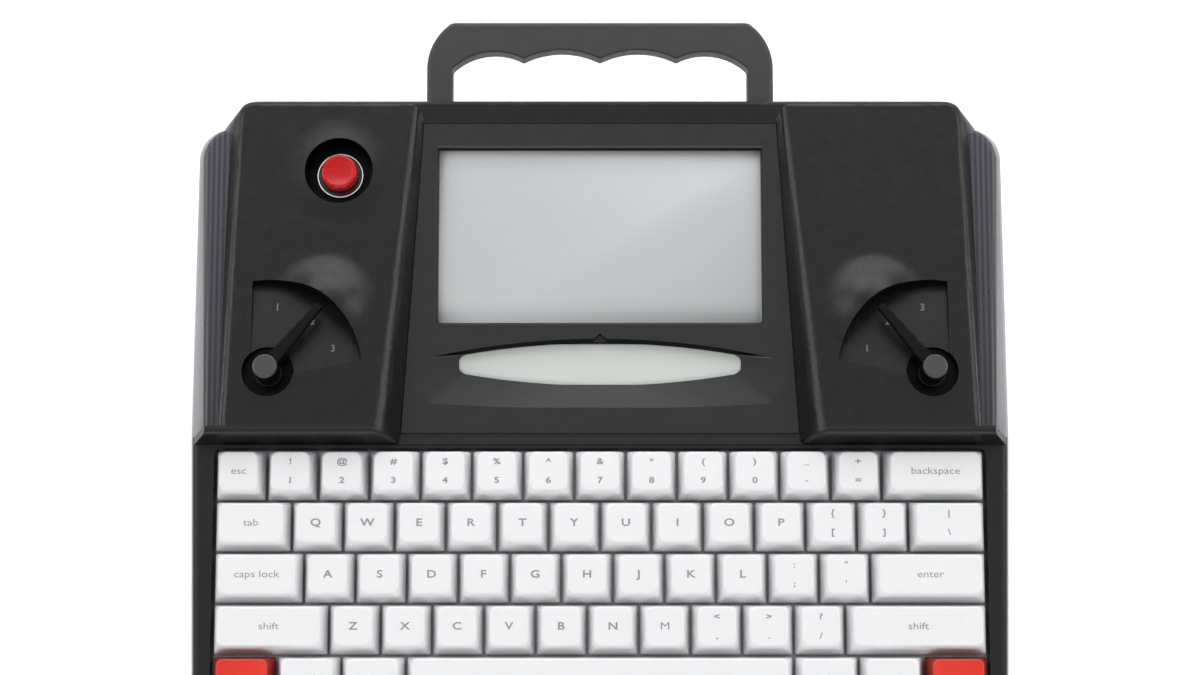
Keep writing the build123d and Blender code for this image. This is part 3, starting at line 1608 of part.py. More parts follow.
with BuildPart() as charging_socket:
    socket_mouth = upright(shell_depth - socket_set)
    with BuildSketch(socket_mouth):
        with Locations((socket_x, board_top + socket_height / 2)):
            SlotOverall(socket_width, socket_height)
            SlotOverall(
                socket_width - 2 * socket_wall, socket_height - 2 * socket_wall,
                mode=Mode.SUBTRACT,
            )
            Rectangle(tongue_width, tongue_thickness)
    extrude(amount=socket_length)
    with BuildSketch(upright(shell_depth - socket_set - socket_length + socket_back)):
        with Locations((socket_x, board_top + socket_height / 2)):
            SlotOverall(socket_width, socket_height)
    extrude(amount=socket_back)
finish(charging_socket, "charging_socket")
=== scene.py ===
import json
from math import atan, cos, pi, radians, sin, tan

import bpy
from mathutils import Matrix, Vector


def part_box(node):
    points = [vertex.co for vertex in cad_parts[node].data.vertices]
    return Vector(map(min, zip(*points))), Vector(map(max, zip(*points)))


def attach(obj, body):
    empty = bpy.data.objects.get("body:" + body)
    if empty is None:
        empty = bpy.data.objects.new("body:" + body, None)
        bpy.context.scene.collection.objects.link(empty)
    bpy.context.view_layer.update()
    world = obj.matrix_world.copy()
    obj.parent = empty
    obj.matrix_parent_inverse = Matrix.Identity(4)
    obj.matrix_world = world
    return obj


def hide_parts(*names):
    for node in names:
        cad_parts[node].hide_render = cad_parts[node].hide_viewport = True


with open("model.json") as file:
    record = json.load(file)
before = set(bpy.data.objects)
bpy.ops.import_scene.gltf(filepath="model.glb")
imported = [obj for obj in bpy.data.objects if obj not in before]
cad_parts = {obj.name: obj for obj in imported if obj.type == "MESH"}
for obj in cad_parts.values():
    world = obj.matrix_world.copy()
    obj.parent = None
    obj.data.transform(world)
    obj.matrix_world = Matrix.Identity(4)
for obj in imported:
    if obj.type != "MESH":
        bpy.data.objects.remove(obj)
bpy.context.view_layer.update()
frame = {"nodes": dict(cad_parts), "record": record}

# Looks of the electronic word processor. Sizes are in millimetres and are turned into metres
# where a mesh is made. The deck's own frame has X to the user's right, Y up the deck from the
# case's front edge and Z square to the deck; the shoulders have one of their own.
MM = 0.001

front_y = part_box("lower_shell")[0].y / MM
deck_slope = radians(9.5)
front_height = 26.0
seam_depth = 108.3
shoulder_front_height = 58.0
shoulder_slope = atan(10.0 / 129.0)


def sloping_plane(depth, height, slope):
    """Matrix that takes millimetres in a sloping plane's frame to metres in the row frame."""
    place = Matrix.Translation((0, (front_y + depth) * MM, height * MM))
    return place @ Matrix.Rotation(slope, 4, "X") @ Matrix.Scale(MM, 4)


DECK = sloping_plane(0, front_height, deck_slope)
SHOULDER = sloping_plane(seam_depth, shoulder_front_height, shoulder_slope)
deck_up = Vector((0, -sin(deck_slope), cos(deck_slope)))
dial_half = 122.8                # middle of the case to a dial's axis
dial_up = 20.66                  # parting line to a dial's axis, along the shoulder
shine = 0.28                     # how strongly the black plastics reflect
bezel_shine = 0.4
wall_shine = 0.05                # and the walls of the bezel's windows, under their painted shade


# ------------------------------------------------------------------ materials
def linear(red, green, blue):
    """Colour of the scene from the 0 to 255 values that it shows as."""
    shown = (red / 255, green / 255, blue / 255)
    return tuple(((c + 0.055) / 1.055) ** 2.4 if c > 0.04045 else c / 12.92 for c in shown)


def shade(colour, share):
    """The colour made darker or lighter, with an opaque fourth value."""
    return (*(c * share for c in colour), 1.0)


class Finish:
    """A procedural material, built up from layers of noise on the object's own coordinates."""

    def __init__(self, name, roughness=0.5, metallic=0.0, specular=0.5, coat=0.0):
        self.material = bpy.data.materials.new(name)
        self.material.use_nodes = True
        self.tree = self.material.node_tree
        self.surface = self.tree.nodes["Principled BSDF"]
        self.surface.inputs["Roughness"].default_value = roughness
        self.surface.inputs["Metallic"].default_value = metallic
        self.surface.inputs["Specular IOR Level"].default_value = specular
        self.surface.inputs["Coat Weight"].default_value = coat
        self.surface.inputs["Coat Roughness"].default_value = 0.1
        coordinates = self.tree.nodes.new("ShaderNodeTexCoord")
        self.place = coordinates.outputs["Object"]
        self.facing = coordinates.outputs["Normal"]
        self.relief = None

    def link(self, output, node, socket):
        """Joins an output to a node's socket, given by name."""
        self.tree.links.new(output, node.inputs[socket])

    def noise(self, size, detail=3.0):
        """Noise whose grains are about size millimetres across."""
        placing = self.tree.nodes.new("ShaderNodeMapping")
        placing.inputs["Scale"].default_value = [1 / (size * MM)] * 3
        self.link(self.place, placing, "Vector")
        texture = self.tree.nodes.new("ShaderNodeTexNoise")
        texture.inputs["Scale"].default_value = 1.0
        texture.inputs["Detail"].default_value = detail
        self.link(placing.outputs["Vector"], texture, "Vector")
        return texture.outputs["Fac"]

    def spread(self, value, low, high, from_low=0.3, from_high=0.7):
        """The value's middle range, spread from low to high."""
        node = self.tree.nodes.new("ShaderNodeMapRange")
        node.inputs["From Min"].default_value = from_low
        node.inputs["From Max"].default_value = from_high
        node.inputs["To Min"].default_value = low
        node.inputs["To Max"].default_value = high
        self.link(value, node, "Value")
        return node.outputs["Result"]

    def above(self, value, edge, width):
        """0 where the value is under the edge, rising to 1 over a width."""
        return self.spread(value, 0.0, 1.0, edge, edge + width)

    def below(self, value, edge, width):
        """1 where the value is under the edge, falling to 0 over a width."""
        return self.spread(value, 1.0, 0.0, edge, edge + width)

    def mix(self, factor, first, second):
        """Colour between two others. Either may be a tuple or another node's output."""
        node = self.tree.nodes.new("ShaderNodeMix")
        node.data_type = "RGBA"
        self.link(factor, node, "Factor")
        for socket, colour in ((node.inputs[6], first), (node.inputs[7], second)):
            if isinstance(colour, tuple):
                socket.default_value = colour
            else:
                self.tree.links.new(colour, socket)
        return node.outputs[2]

    def calculate(self, operation, first, second=0.0):
        """Result of an operation on one or two values, each a number or a node's output."""
        node = self.tree.nodes.new("ShaderNodeMath")
        node.operation = operation
        for socket, value in ((node.inputs[0], first), (node.inputs[1], second)):
            if isinstance(value, (int, float)):
                socket.default_value = value
            else:
                self.tree.links.new(value, socket)
        return node.outputs[0]

    def product(self, first, second):
        """The first value times the second."""
        return self.calculate("MULTIPLY", first, second)

    def dot(self, field, direction):
        """Dot product of a vector output and a direction."""
        node = self.tree.nodes.new("ShaderNodeVectorMath")
        node.operation = "DOT_PRODUCT"
        self.tree.links.new(field, node.inputs[0])
        node.inputs[1].default_value = direction
        return node.outputs["Value"]

    def along(self, direction, origin):
        """Millimetres along a direction from a point."""
        distance = self.dot(self.place, direction / MM)
        return self.calculate("SUBTRACT", distance, origin.dot(direction) / MM)

    def faces(self, direction):
        """Share of the surface's normal along a direction."""
        return self.dot(self.facing, direction)

    def ridges(self, direction, pitch):
        """Even ridges, pitch millimetres apart."""
        node = self.tree.nodes.new("ShaderNodeTexWave")
        node.bands_direction = direction
        node.inputs["Scale"].default_value = pi / (10 * pitch * MM)
        node.inputs["Distortion"].default_value = 0.0
        self.link(self.place, node, "Vector")
        return node.outputs["Fac"]

    def paint(self, colour):
        """Takes an output as the base colour."""
        self.link(colour, self.surface, "Base Color")

    def mottled(self, colour, size, contrast):
        """A colour that wanders a little from place to place."""
        factor = self.spread(self.noise(size), 0.0, 1.0)
        return self.mix(factor, shade(colour, 1 - contrast), shade(colour, 1 + contrast))

    def wear(self, size, low, high):
        """Roughness that wanders between two values."""
        self.link(self.spread(self.noise(size), low, high), self.surface, "Roughness")

    def grain(self, height, depth, strength=1.0):
        """Relief, depth millimetres high, on top of what is there."""
        node = self.tree.nodes.new("ShaderNodeBump")
        node.inputs["Distance"].default_value = depth * MM
        node.inputs["Strength"].default_value = strength
        self.link(height, node, "Height")
        if self.relief:
            self.link(self.relief, node, "Normal")
        self.relief = node.outputs["Normal"]
        self.link(self.relief, self.surface, "Normal")


def moulded(
    name, colour, roughness, grain_size=0.5, grain_depth=0.012, contrast=0.06, specular=0.5
):
    """Moulded plastic with a fine spark-eroded texture."""
    finish = Finish(name, roughness, specular=specular)
    finish.paint(finish.mottled(linear(*colour), 9.0, contrast))
    finish.wear(3.0, roughness - 0.04, roughness + 0.05)
    finish.grain(finish.noise(grain_size, 2.0), grain_depth)
    return finish.material


def red_keycap(name, colour):
    """Red keycap plastic, with painted shade: darker on the slopes round the top."""
    finish = Finish(name, 0.4)
    colour = linear(*colour)
    # painted shade: the slopes, turned away from the deck's up, are painted at 0.42 of the red
    top = finish.above(finish.faces(deck_up), 0.6, 0.25)
    finish.paint(finish.mix(top, shade(colour, 0.42), finish.mottled(colour, 9.0, 0.03)))
    finish.wear(3.0, 0.36, 0.45)
    finish.grain(finish.noise(0.35, 2.0), 0.012)
    return finish.material


def glossy(name, colour, roughness):
    """Smooth lacquered plastic with the faint waviness of a moulding."""
    finish = Finish(name, roughness, specular=0.25, coat=0.1)
    finish.paint(finish.mottled(linear(*colour), 5.0, 0.05))
    finish.wear(2.0, roughness - 0.05, roughness + 0.05)
    finish.grain(finish.noise(4.0, 1.0), 0.02)
    return finish.material


def metal(name, colour, roughness):
    """Plated or bare metal, smooth but for a fine haze."""
    finish = Finish(name, roughness, metallic=1.0)
    finish.paint(finish.mottled(linear(*colour), 2.0, 0.06))
    finish.wear(0.8, roughness - 0.06, roughness + 0.08)
    finish.grain(finish.noise(0.3, 2.0), 0.003)
    return finish.material


def screen_glass(name, colour, cell, tint):
    """Grey display behind a matt film, with its grid of fine cells. The tint is its lines'."""
    finish = Finish(name, 0.32, specular=0.4)
    colours = finish.mottled(linear(*colour), 30.0, 0.01)
    for direction in ("X", "Y"):
        lines = finish.spread(finish.ridges(direction, cell), 0.0, 0.35, 0.86, 1.0)
        colours = finish.mix(lines, colours, shade(linear(*tint), 1.0))
    finish.paint(colours)
    finish.wear(1.5, 0.28, 0.36)
    return finish.material


# Where the cover's colour changes: its paler ledge, and the painted shade in its pockets and wells
ledge_from = 134.0               # from the case's middle
ledge_level = -0.7               # over the deck's face
pockets_from, pockets_to = 84.0, 133.0            # from the case's middle
fan_reach = 36.5                 # round a dial's axis
hub_well_reach = 9.55
hub_well_level = -0.6            # over the shoulder's face at a dial's axis
button_well_from, button_well_to = 60.0, 92.5     # behind the dials' axes
button_well_level = -6.4


def cover_plastic(name, colour, ledge_colour):
    """The cover's black, half glossy: ribbed and paler on its ledge, with painted highlight stripes
    there, and painted shade, deep black, in its pockets.
    """
    finish = Finish(name, 0.32, specular=shine)
    colour, ledge_colour = linear(*colour), linear(*ledge_colour)
    shoulder_up = Vector((0, -sin(shoulder_slope), cos(shoulder_slope)))
    shoulder_back = Vector((0, cos(shoulder_slope), sin(shoulder_slope)))
    axis = SHOULDER @ Vector((0, dial_up, 0))
    side = finish.calculate("ABSOLUTE", finish.along(Vector((1, 0, 0)), Vector((0, 0, 0))))
    level = finish.along(shoulder_up, axis)
    beyond = finish.along(shoulder_back, axis)
    black = finish.mottled(colour, 12.0, 0.1)
    # the ledge: everything under the shoulders' foot, outside of the bay and the pockets
    under = finish.below(finish.along(deck_up, DECK.translation), ledge_level, 0.2)
    outside = finish.above(side, ledge_from, 0.5)
    # ribs: the ledge's print ridges shown as light and dark stripes in its colour; the light
    # stripes are painted highlights
    ribs = finish.spread(finish.ridges("X", 2.0), 0.0, 1.0, 0.3, 0.95)
    pale = finish.mix(ribs, shade(ledge_colour, 0.75), shade(ledge_colour, 1.5))
    colours = finish.mix(finish.product(under, outside), black, pale)
    # painted shade: the upright walls of the pockets, the dials' wells and the button's well are
    # painted near black, where shade falls
    walls = finish.below(finish.faces(shoulder_up), 0.3, 0.2)
    aside = finish.calculate("SUBTRACT", side, dial_half)
    squares = [finish.calculate("POWER", part, 2.0) for part in (aside, beyond)]
    reach = finish.calculate("SQRT", finish.calculate("ADD", *squares))
    in_fan = finish.below(reach, fan_reach, 0.5)
    in_hub = finish.product(
        finish.below(reach, hub_well_reach, 0.1), finish.below(level, hub_well_level, 0.2)
    )
    in_well = finish.below(level, button_well_level, 0.2)
    inside = finish.product(
        finish.below(side, pockets_to, 0.5), finish.above(side, pockets_from, 0.5)
    )
    around_button = finish.product(
        finish.above(beyond, button_well_from, 0.5), finish.below(beyond, button_well_to, 0.5)
    )
    painted_shade = finish.product(finish.calculate("MAXIMUM", in_fan, around_button), walls)
    for well in (in_hub, in_well):
        painted_shade = finish.calculate("MAXIMUM", painted_shade, well)
    painted_shade = finish.product(painted_shade, inside)
    # painted shade: near black, with a quarter of the gloss, on the pockets' walls and in the wells
    finish.paint(finish.mix(painted_shade, colours, shade(colour, 0.15)))
    gloss = finish.spread(painted_shade, shine, shine / 4, 0.0, 1.0)
    finish.link(gloss, finish.surface, "Specular IOR Level")
    finish.wear(4.0, 0.27, 0.36)
    finish.grain(finish.ridges("Z", 0.28), 0.01, 0.4)
    finish.grain(finish.noise(0.7, 2.0), 0.01)
    return finish.material


def bezel_plastic(name, colour):
    """The bezel's black, with painted shade, deep black, on the upright walls of its windows."""
    finish = Finish(name, 0.34, specular=bezel_shine)
    colour = linear(*colour)
    # painted shade: the windows' upright walls are painted near black and lose most of their gloss
    walls = finish.below(finish.faces(deck_up), 0.55, 0.15)
    finish.paint(finish.mix(walls, finish.mottled(colour, 12.0, 0.1), shade(colour, 0.1)))
    gloss = finish.spread(walls, bezel_shine, wall_shine, 0.0, 1.0)
    finish.link(gloss, finish.surface, "Specular IOR Level")
    finish.wear(4.0, 0.3, 0.38)
    finish.grain(finish.ridges("X", 0.7), 0.006, 0.4)
    return finish.material


slot_materials = {
    "shell_grey": moulded("shell_grey", (168, 168, 170), 0.48, contrast=0.03),
    "case_black": moulded("case_black", (13, 13, 14), 0.36, specular=shine),
    "base_black": moulded("base_black", (30, 30, 32), 0.58, grain_size=0.8, grain_depth=0.03),
    "handle_black": moulded("handle_black", (26, 26, 28), 0.5, grain_size=0.6, grain_depth=0.04),
    "inner_black": moulded("inner_black", (26, 26, 27), 0.6),
    "display_grey": moulded("display_grey", (96, 99, 98), 0.35, contrast=0.03),
    "key_white": moulded("key_white", (230, 230, 231), 0.42, grain_size=0.35, contrast=0.012),
    "key_red": red_keycap("key_red", (212, 42, 25)),
    "button_red": glossy("button_red", (176, 8, 16), 0.26),
    "ring_chrome": metal("ring_chrome", (225, 226, 228), 0.16),
    "switch_black": moulded("switch_black", (24, 24, 25), 0.45),
    "switch_grey": moulded("switch_grey", (70, 71, 73), 0.5),
    "lever_black": moulded("lever_black", (7, 7, 8), 0.36, grain_depth=0.006, specular=0.1),
    "lever_disc": moulded("lever_disc", (50, 50, 52), 0.36, grain_depth=0.006),
    "steel": metal("steel", (150, 151, 154), 0.34),
    "foot_rubber": moulded("foot_rubber", (26, 26, 26), 0.8, grain_size=0.7, grain_depth=0.05),
    "board_green": moulded("board_green", (22, 84, 52), 0.38, contrast=0.12),
    "ribbon_amber": moulded("ribbon_amber", (176, 112, 34), 0.34, contrast=0.1),
    "battery_foil": moulded("battery_foil", (168, 170, 174), 0.3, grain_size=4.0, grain_depth=0.15),
}
own_materials = {
    "rear_cover": cover_plastic("cover_black", (12, 12, 13), (66, 65, 72)),
    "display_bezel": bezel_plastic("bezel_black", (17, 17, 18)),
}
legend_ink = moulded("legend_ink", (138, 139, 142), 0.5, contrast=0.04)
mark_ink = moulded("mark_ink", (104, 105, 107), 0.5, contrast=0.04)
screen_film = screen_glass("screen_film", (184, 185, 186), 0.6, (174, 176, 177))
status_film = screen_glass("status_film", (198, 203, 199), 0.6, (188, 194, 189))

for subpart in frame["record"]["subparts"]:
    finish_of_slot = slot_materials[subpart["material_slot"]]
    for material_slot in frame["nodes"][subpart["node"]].material_slots:
        material_slot.material = own_materials.get(subpart["node"], finish_of_slot)


# ------------------------------------------------------------------ meshes
def make_piece(name, parts, place, material, body, sharp=40.0):
    """One mesh piece from (points, faces) parts in a plane's own millimetres."""
    points, faces = [], []
    for part_points, part_faces in parts:
        faces += [[i + len(points) for i in face] for face in part_faces]
        points += part_points
    mesh = bpy.data.meshes.new(name)
    mesh.from_pydata([place @ Vector(p) for p in points], [], faces)
    mesh.validate()
    mesh.shade_smooth()
    mesh.set_sharp_from_angle(angle=radians(sharp))
    mesh.materials.append(material)
    piece = bpy.data.objects.new(name, mesh)
    bpy.context.scene.collection.objects.link(piece)
    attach(piece, body)
    return piece


def rings(loops):
    """Faces that join loops of equal length, each to the next, with their ends filled."""
    count = len(loops[0])
    points = [p for loop in loops for p in loop]
    faces = []
    for row in range(len(loops) - 1):
        for i in range(count):
            a, b = row * count + i, row * count + (i + 1) % count
            faces.append([a, b, b + count, a + count])
    faces.append(list(range(count))[::-1])
    faces.append([(len(loops) - 1) * count + i for i in range(count)])
    return points, faces


def circle(radius, level, steps):
    """Points round a circle about Z."""
    turns = [2 * pi * i / steps for i in range(steps)]
    return [(radius * cos(turn), radius * sin(turn), level) for turn in turns]


# ------------------------------------------------------------------ keycaps
key_pitch = 19.05
key_field_front = 9.6
key_columns = 15
cap_level = -2.4                 # the caps' feet stand under the deck's face
cap_gap = 0.95
cap_height = 8.6
tall_cap_extra = 1.0
cap_wall = 1.4
cap_side_slope = 2.1
cap_front_slope = 2.8
cap_back_slope = 1.0
cap_foot_round = 0.8
cap_top_round = 2.6
cap_edge_round = 0.6
cap_dish_depth = 0.7
cap_foot_edge = 0.4              # height of the first ring over a cap's foot
cap_top_insets = (0.9, 1.6, 2.7, 3.9, 5.2)    # rings on a cap's top, from its edge inwards
first_edge_turn = 30             # the round at the top edge starts at the slopes' own tilt
stem_radius = 2.75
stem_reach = 4.2
longest_dished = 6.0             # longer keys have a flat top
corner_steps = 5
side_steps = 8
end_steps = 4
stem_steps = 24


def rounded_loop(half_x, half_y, radius, middle_y=0.0):
    """Points round a rounded rectangle, anticlockwise, as (x, y)."""
    arcs = []
    for right, back, start in ((1, -1, -90), (1, 1, 0), (-1, 1, 90), (-1, -1, 180)):
        arc = []
        for step in range(corner_steps + 1):
            turn = radians(start + 90 * step / corner_steps)
            arc.append((
                right * (half_x - radius) + radius * cos(turn),
                middle_y + back * (half_y - radius) + radius * sin(turn),
            ))
        arcs.append(arc)
    loop = []
    for arc, following, steps in zip(
        arcs, arcs[1:] + arcs[:1], (end_steps, side_steps, end_steps, side_steps)
    ):
        loop += arc
        (x0, y0), (x1, y1) = arc[-1], following[0]
        loop += [
            (x0 + (x1 - x0) * k / steps, y0 + (y1 - y0) * k / steps) for k in range(1, steps)
        ]
    return loop


def cap_sizes(units):
    """Half width of a keycap at its foot and at its top."""
    foot_half = (units * key_pitch - cap_gap) / 2
    return foot_half, foot_half - cap_side_slope


def dish(units, x):
    """How far a keycap's top lies under its side edges, x from its middle."""
    if units > longest_dished:
        return 0.0
    one_unit_half = cap_sizes(1.0)[1]
    from_end = min(max(cap_sizes(units)[1] - abs(x), 0.0), one_unit_half)
    return cap_dish_depth * (1 - (1 - from_end / one_unit_half) ** 2)


def keycap(units, tall, middle_x, middle_y):
    """Hollow keycap and its stem, each as (points, faces) in the deck's frame."""
    height = cap_height + (tall_cap_extra if tall else 0)
    foot_half = cap_sizes(units)[0]
    depth_half = (key_pitch - cap_gap) / 2

    def section(share, inset, level, dished):
        """Loop round the cap, that share of the way up its slopes and set in from them."""
        half_y = depth_half - share * (cap_front_slope + cap_back_slope) / 2
        radius = cap_foot_round + share * (cap_top_round - cap_foot_round)
        radius = max(radius * (1 - inset / half_y), 0.1)
        loop = rounded_loop(
            foot_half - share * cap_side_slope - inset, half_y - inset, radius,
            share * (cap_front_slope - cap_back_slope) / 2,
        )
        return [(x, y, level - (dish(units, x) if dished else 0)) for x, y in loop]

    roof = height - cap_dish_depth - cap_wall
    loops = [section(1, cap_wall, roof, False), section(0, cap_wall, 0, False)]
    loops.append(section(0, 0, 0, False))
    shoulder = height - cap_edge_round
    for level in (cap_foot_edge, shoulder - 0.5, shoulder):
        loops.append(section(level / height, 0, level, level > cap_foot_edge))
    for turn in range(first_edge_turn, 91, 20):
        inset = cap_edge_round * (cos(radians(first_edge_turn)) - cos(radians(turn)))
        level = height - cap_edge_round * (1 - sin(radians(turn)))
        loops.append(section(1, inset, level, True))
    loops += [section(1, inset, height, True) for inset in cap_top_insets]
    stem = [circle(stem_radius, level, stem_steps) for level in (-stem_reach, roof + cap_wall / 2)]
    return [
        ([(x + middle_x, y + middle_y, z + cap_level) for x, y, z in points], faces)
        for points, faces in (rings(loops), rings(stem))
    ]


# Each row from the front: the piece that a run of keys belongs to, their width in key pitches,
# and one legend for each key of the run: a word, a letter, or a pair of signs, the upper first.
word_size, sign_size, letter_size = 3.6, 3.2, 3.9
key_rows_layout = (
    (("left_red_key", 1.25, [""]), ("left_outer_modifier_key", 1.25, ["ctrl"]),
     ("left_inner_modifier_key", 1.25, ["alt"]), ("space_bar", 7.5, [""]),
     ("right_inner_modifier_key", 1.25, ["alt"]), ("right_outer_modifier_key", 1.25, ["ctrl"]),
     ("right_red_key", 1.25, [""])),
    (("left_shift_key", 2.25, ["shift"]),
     ("bottom_letter_keys", 1, ["Z", "X", "C", "V", "B", "N", "M", "<,", ">.", "?/"]),
     ("right_shift_key", 2.75, ["shift"])),
    (("caps_key", 1.75, ["caps lock"]),
     ("home_letter_keys", 1, ["A", "S", "D", "F", "G", "H", "J", "K", "L", ":;", "\"'"]),
     ("enter_key", 2.25, ["enter"])),
    (("tab_key", 1.5, ["tab"]),
     ("top_letter_keys", 1, ["Q", "W", "E", "R", "T", "Y", "U", "I", "O", "P", "{[", "}]"]),
     ("backslash_key", 1.5, ["|\\"])),
    (("escape_key", 1, ["esc"]),
     ("number_keys", 1, ["!1", "@2", "#3", "$4", "%5", "^6", "&7", "*8", "(9", ")0", "_-", "+="]),
     ("backspace_key", 2, ["backspace"])),
)
legend_offset = 3.5              # a pair of signs stands this far before and behind the middle
legend_thickness = 0.05
legend_stretch = 1.25            # the letters are wider than the typeface's own
legend_weights = (0.02, 0.014, 0.008)    # strokes are thickened by a share of the sign's size
fuller, fullest = 0.06, 0.62     # a thickened sign covers so much more, or its outline has failed


def drawn_text(text, size, weight):
    """Points and faces of a word with its strokes thickened, and the area that it covers."""
    curve = bpy.data.curves.new("word", "FONT")
    curve.body = text
    curve.size = size
    curve.align_x = "CENTER"
    curve.align_y = "CENTER"
    curve.extrude = legend_thickness / 2
    curve.offset = size * weight
    curve.resolution_u = 3
    word = bpy.data.objects.new("word", curve)
    mesh = bpy.data.meshes.new_from_object(word)
    points = [tuple(v.co) for v in mesh.vertices]
    faces = [list(p.vertices) for p in mesh.polygons]
    area = sum(p.area for p in mesh.polygons if p.normal.z > 0.5)
    bpy.data.objects.remove(word)
    bpy.data.curves.remove(curve)
    bpy.data.meshes.remove(mesh)
    return points, faces, area


def lettering(text, size):
    """Points and faces of a word, or of a single sign with its strokes thickened."""
    plain_points, plain_faces, plain_area = drawn_text(text, size, 0.0)
    if len(text) == 1 and text != "M":           # thickened, an M's strokes run together
        for weight in legend_weights:
            points, faces, area = drawn_text(text, size, weight)
            if fuller < area / plain_area - 1 < fullest:
                return points, faces
    return plain_points, plain_faces


def key_legend(text, units, tall, middle_x, middle_y):
    """The signs on one keycap, lying on its dished top."""
    top = cap_level + cap_height + (tall_cap_extra if tall else 0) + legend_thickness / 2
    top_middle = middle_y + (cap_front_slope - cap_back_slope) / 2
    if len(text) == 2 and not text.isalpha():
        signs = [(text[0], sign_size, legend_offset), (text[1], sign_size, -legend_offset)]
    elif len(text) == 1:
        signs = [(text, letter_size, 0.0)]
    else:
        signs = [(text, word_size, 0.0)]
    parts = []
    for sign, size, offset in signs:
        points, faces = lettering(sign, size)
        parts.append((
            [(x * legend_stretch + middle_x, y + top_middle + offset,
              z + top - dish(units, x * legend_stretch))
             for x, y, z in points],
            faces,
        ))
    return parts


node_bodies = {
    node: body for body, nodes in frame["record"]["behaviour"]["bodies"].items() for node in nodes
}
key_cells = {}
for row_index, row in enumerate(key_rows_layout):
    tall = row == key_rows_layout[-1]
    middle_y = key_field_front + (row_index + 0.5) * key_pitch
    left = -key_columns * key_pitch / 2
    for node, units, legends in row:
        for text in legends:
            middle_x = left + units * key_pitch / 2
            key_cells.setdefault(node, []).append((units, tall, middle_x, middle_y, text))
            left += units * key_pitch

for node, cells in key_cells.items():
    slot = "key_red" if "red" in node else "key_white"
    caps = [part for cell in cells for part in keycap(*cell[:4])]
    piece = make_piece(f"{node}_caps", caps, DECK, slot_materials[slot], node_bodies[node])
    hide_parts(node)
    signs = [part for *cell, text in cells if text for part in key_legend(text, *cell)]
    if signs:
        make_piece(
            f"{node}_legends", signs, DECK, legend_ink, node_bodies[node], 30.0
        )


# ------------------------------------------------------------------ display films
panel_level = -3.6               # the panel's face lies under the deck's
film_thickness = 0.25
film_edge = 0.08
film_corner = 0.8


def film(name, half, front, back, material):
    """Thin plate on the display panel, with slightly rounded corners."""
    middle = (front + back) / 2
    loops = []
    for inset, height in ((0, 0), (0, film_thickness - film_edge), (film_edge, film_thickness)):
        loop = rounded_loop(half - inset, (back - front) / 2 - inset, film_corner, middle)
        loops.append([(x, y, panel_level + height) for x, y in loop])
    make_piece(name, [rings(loops)], DECK, material, "case")


film("main_screen_film", half=60.9, front=153.3, back=219.6, material=screen_film)
film("status_screen_film", half=52.9, front=129.8, back=145.2, material=status_film)


# ------------------------------------------------------------------ softened CAD edges
def soften(node, width, angle=32.0, segments=2):
    """Small radius on a CAD node's crisp edges, as a moulding has. Its vertices stay put."""
    piece = frame["nodes"][node]
    weld = piece.modifiers.new("weld", "WELD")
    weld.merge_threshold = 0.00001
    flat = piece.modifiers.new("flat", "DECIMATE")
    flat.decimate_type = "DISSOLVE"
    flat.angle_limit = radians(0.6)
    edge = piece.modifiers.new("edge", "BEVEL")
    edge.limit_method = "ANGLE"
    edge.angle_limit = radians(angle)
    edge.width = width * MM
    edge.segments = segments
    edge.harden_normals = False
    normals = piece.modifiers.new("normals", "WEIGHTED_NORMAL")
    normals.keep_sharp = False
    normals.weight = 80


soften("rear_cover", 0.45, 16.0)
soften("keyboard_frame", 0.6)
soften("lower_shell", 0.5)
soften("display_bezel", 0.2, 9.0, 1)
soften("carry_handle", 0.6)


# ------------------------------------------------------------------ dial marks
fan_middle = 51.0                # direction of the middle of a dial's pocket, in degrees
fan_start = 0.8                  # the pocket's floor under the shoulder's face at the dial's axis
fan_fall = 8.0                   # and how steeply it falls from there, in degrees
mark_reach = 25.5
mark_size = 3.8


def dial_marks(name, side, texts):
    """Small numbers on a dial's pocket floor, upright on the page, round the lever's sweep."""
    parts = []
    for text, angle in texts:
        points, faces = lettering(text, mark_size)
        along = -side * mark_reach * cos(radians(angle))
        back = mark_reach * sin(radians(angle))
        placed = []
        for x, y, z in points:
            outwards = -side * (x + along) * cos(radians(fan_middle))
            outwards += (y + back) * sin(radians(fan_middle))
            floor = -fan_start - outwards * tan(radians(fan_fall))
            placed.append((x + along + side * dial_half, y + back + dial_up, z + floor))
        parts.append((placed, faces))
    make_piece(name, parts, SHOULDER, mark_ink, "case", 30.0)


dial_marks("left_dial_numbers", -1, (("1", 84), ("2", 52), ("3", 22)))
dial_marks("right_dial_numbers", 1, (("1", 22), ("2", 52), ("3", 84)))


# ------------------------------------------------------------------ push button
button_radius = 6.8
button_length = 12.0
button_round = 1.1
button_foot_bevel = 0.3
button_dish = 0.7
button_middle = (-98.1, 98.1)    # on the shoulder, from its middle and from the parting line
button_steps = 64
dish_shares = (0.06, 0.14, 0.24, 0.36, 0.5, 0.66, 0.82, 0.96)    # rings from the rim inwards

profile = [
    (button_radius - button_foot_bevel, -button_length),
    (button_radius, -button_length + button_foot_bevel),
]
for turn in range(0, 91, 15):
    profile.append((
        button_radius - button_round * (1 - cos(radians(turn))),
        -button_round * (1 - sin(radians(turn))),
    ))
rim = button_radius - button_round
profile += [(rim * (1 - share), -button_dish * (1 - (1 - share) ** 2)) for share in dish_shares]
cap_points, cap_faces = rings([circle(*ring, button_steps) for ring in profile])
cap_points = [(x + button_middle[0], y + button_middle[1], z) for x, y, z in cap_points]
button_cap = make_piece(
    "button_cap", [(cap_points, cap_faces)], SHOULDER, slot_materials["button_red"],
    "power_button",
)
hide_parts("power_button_cap")


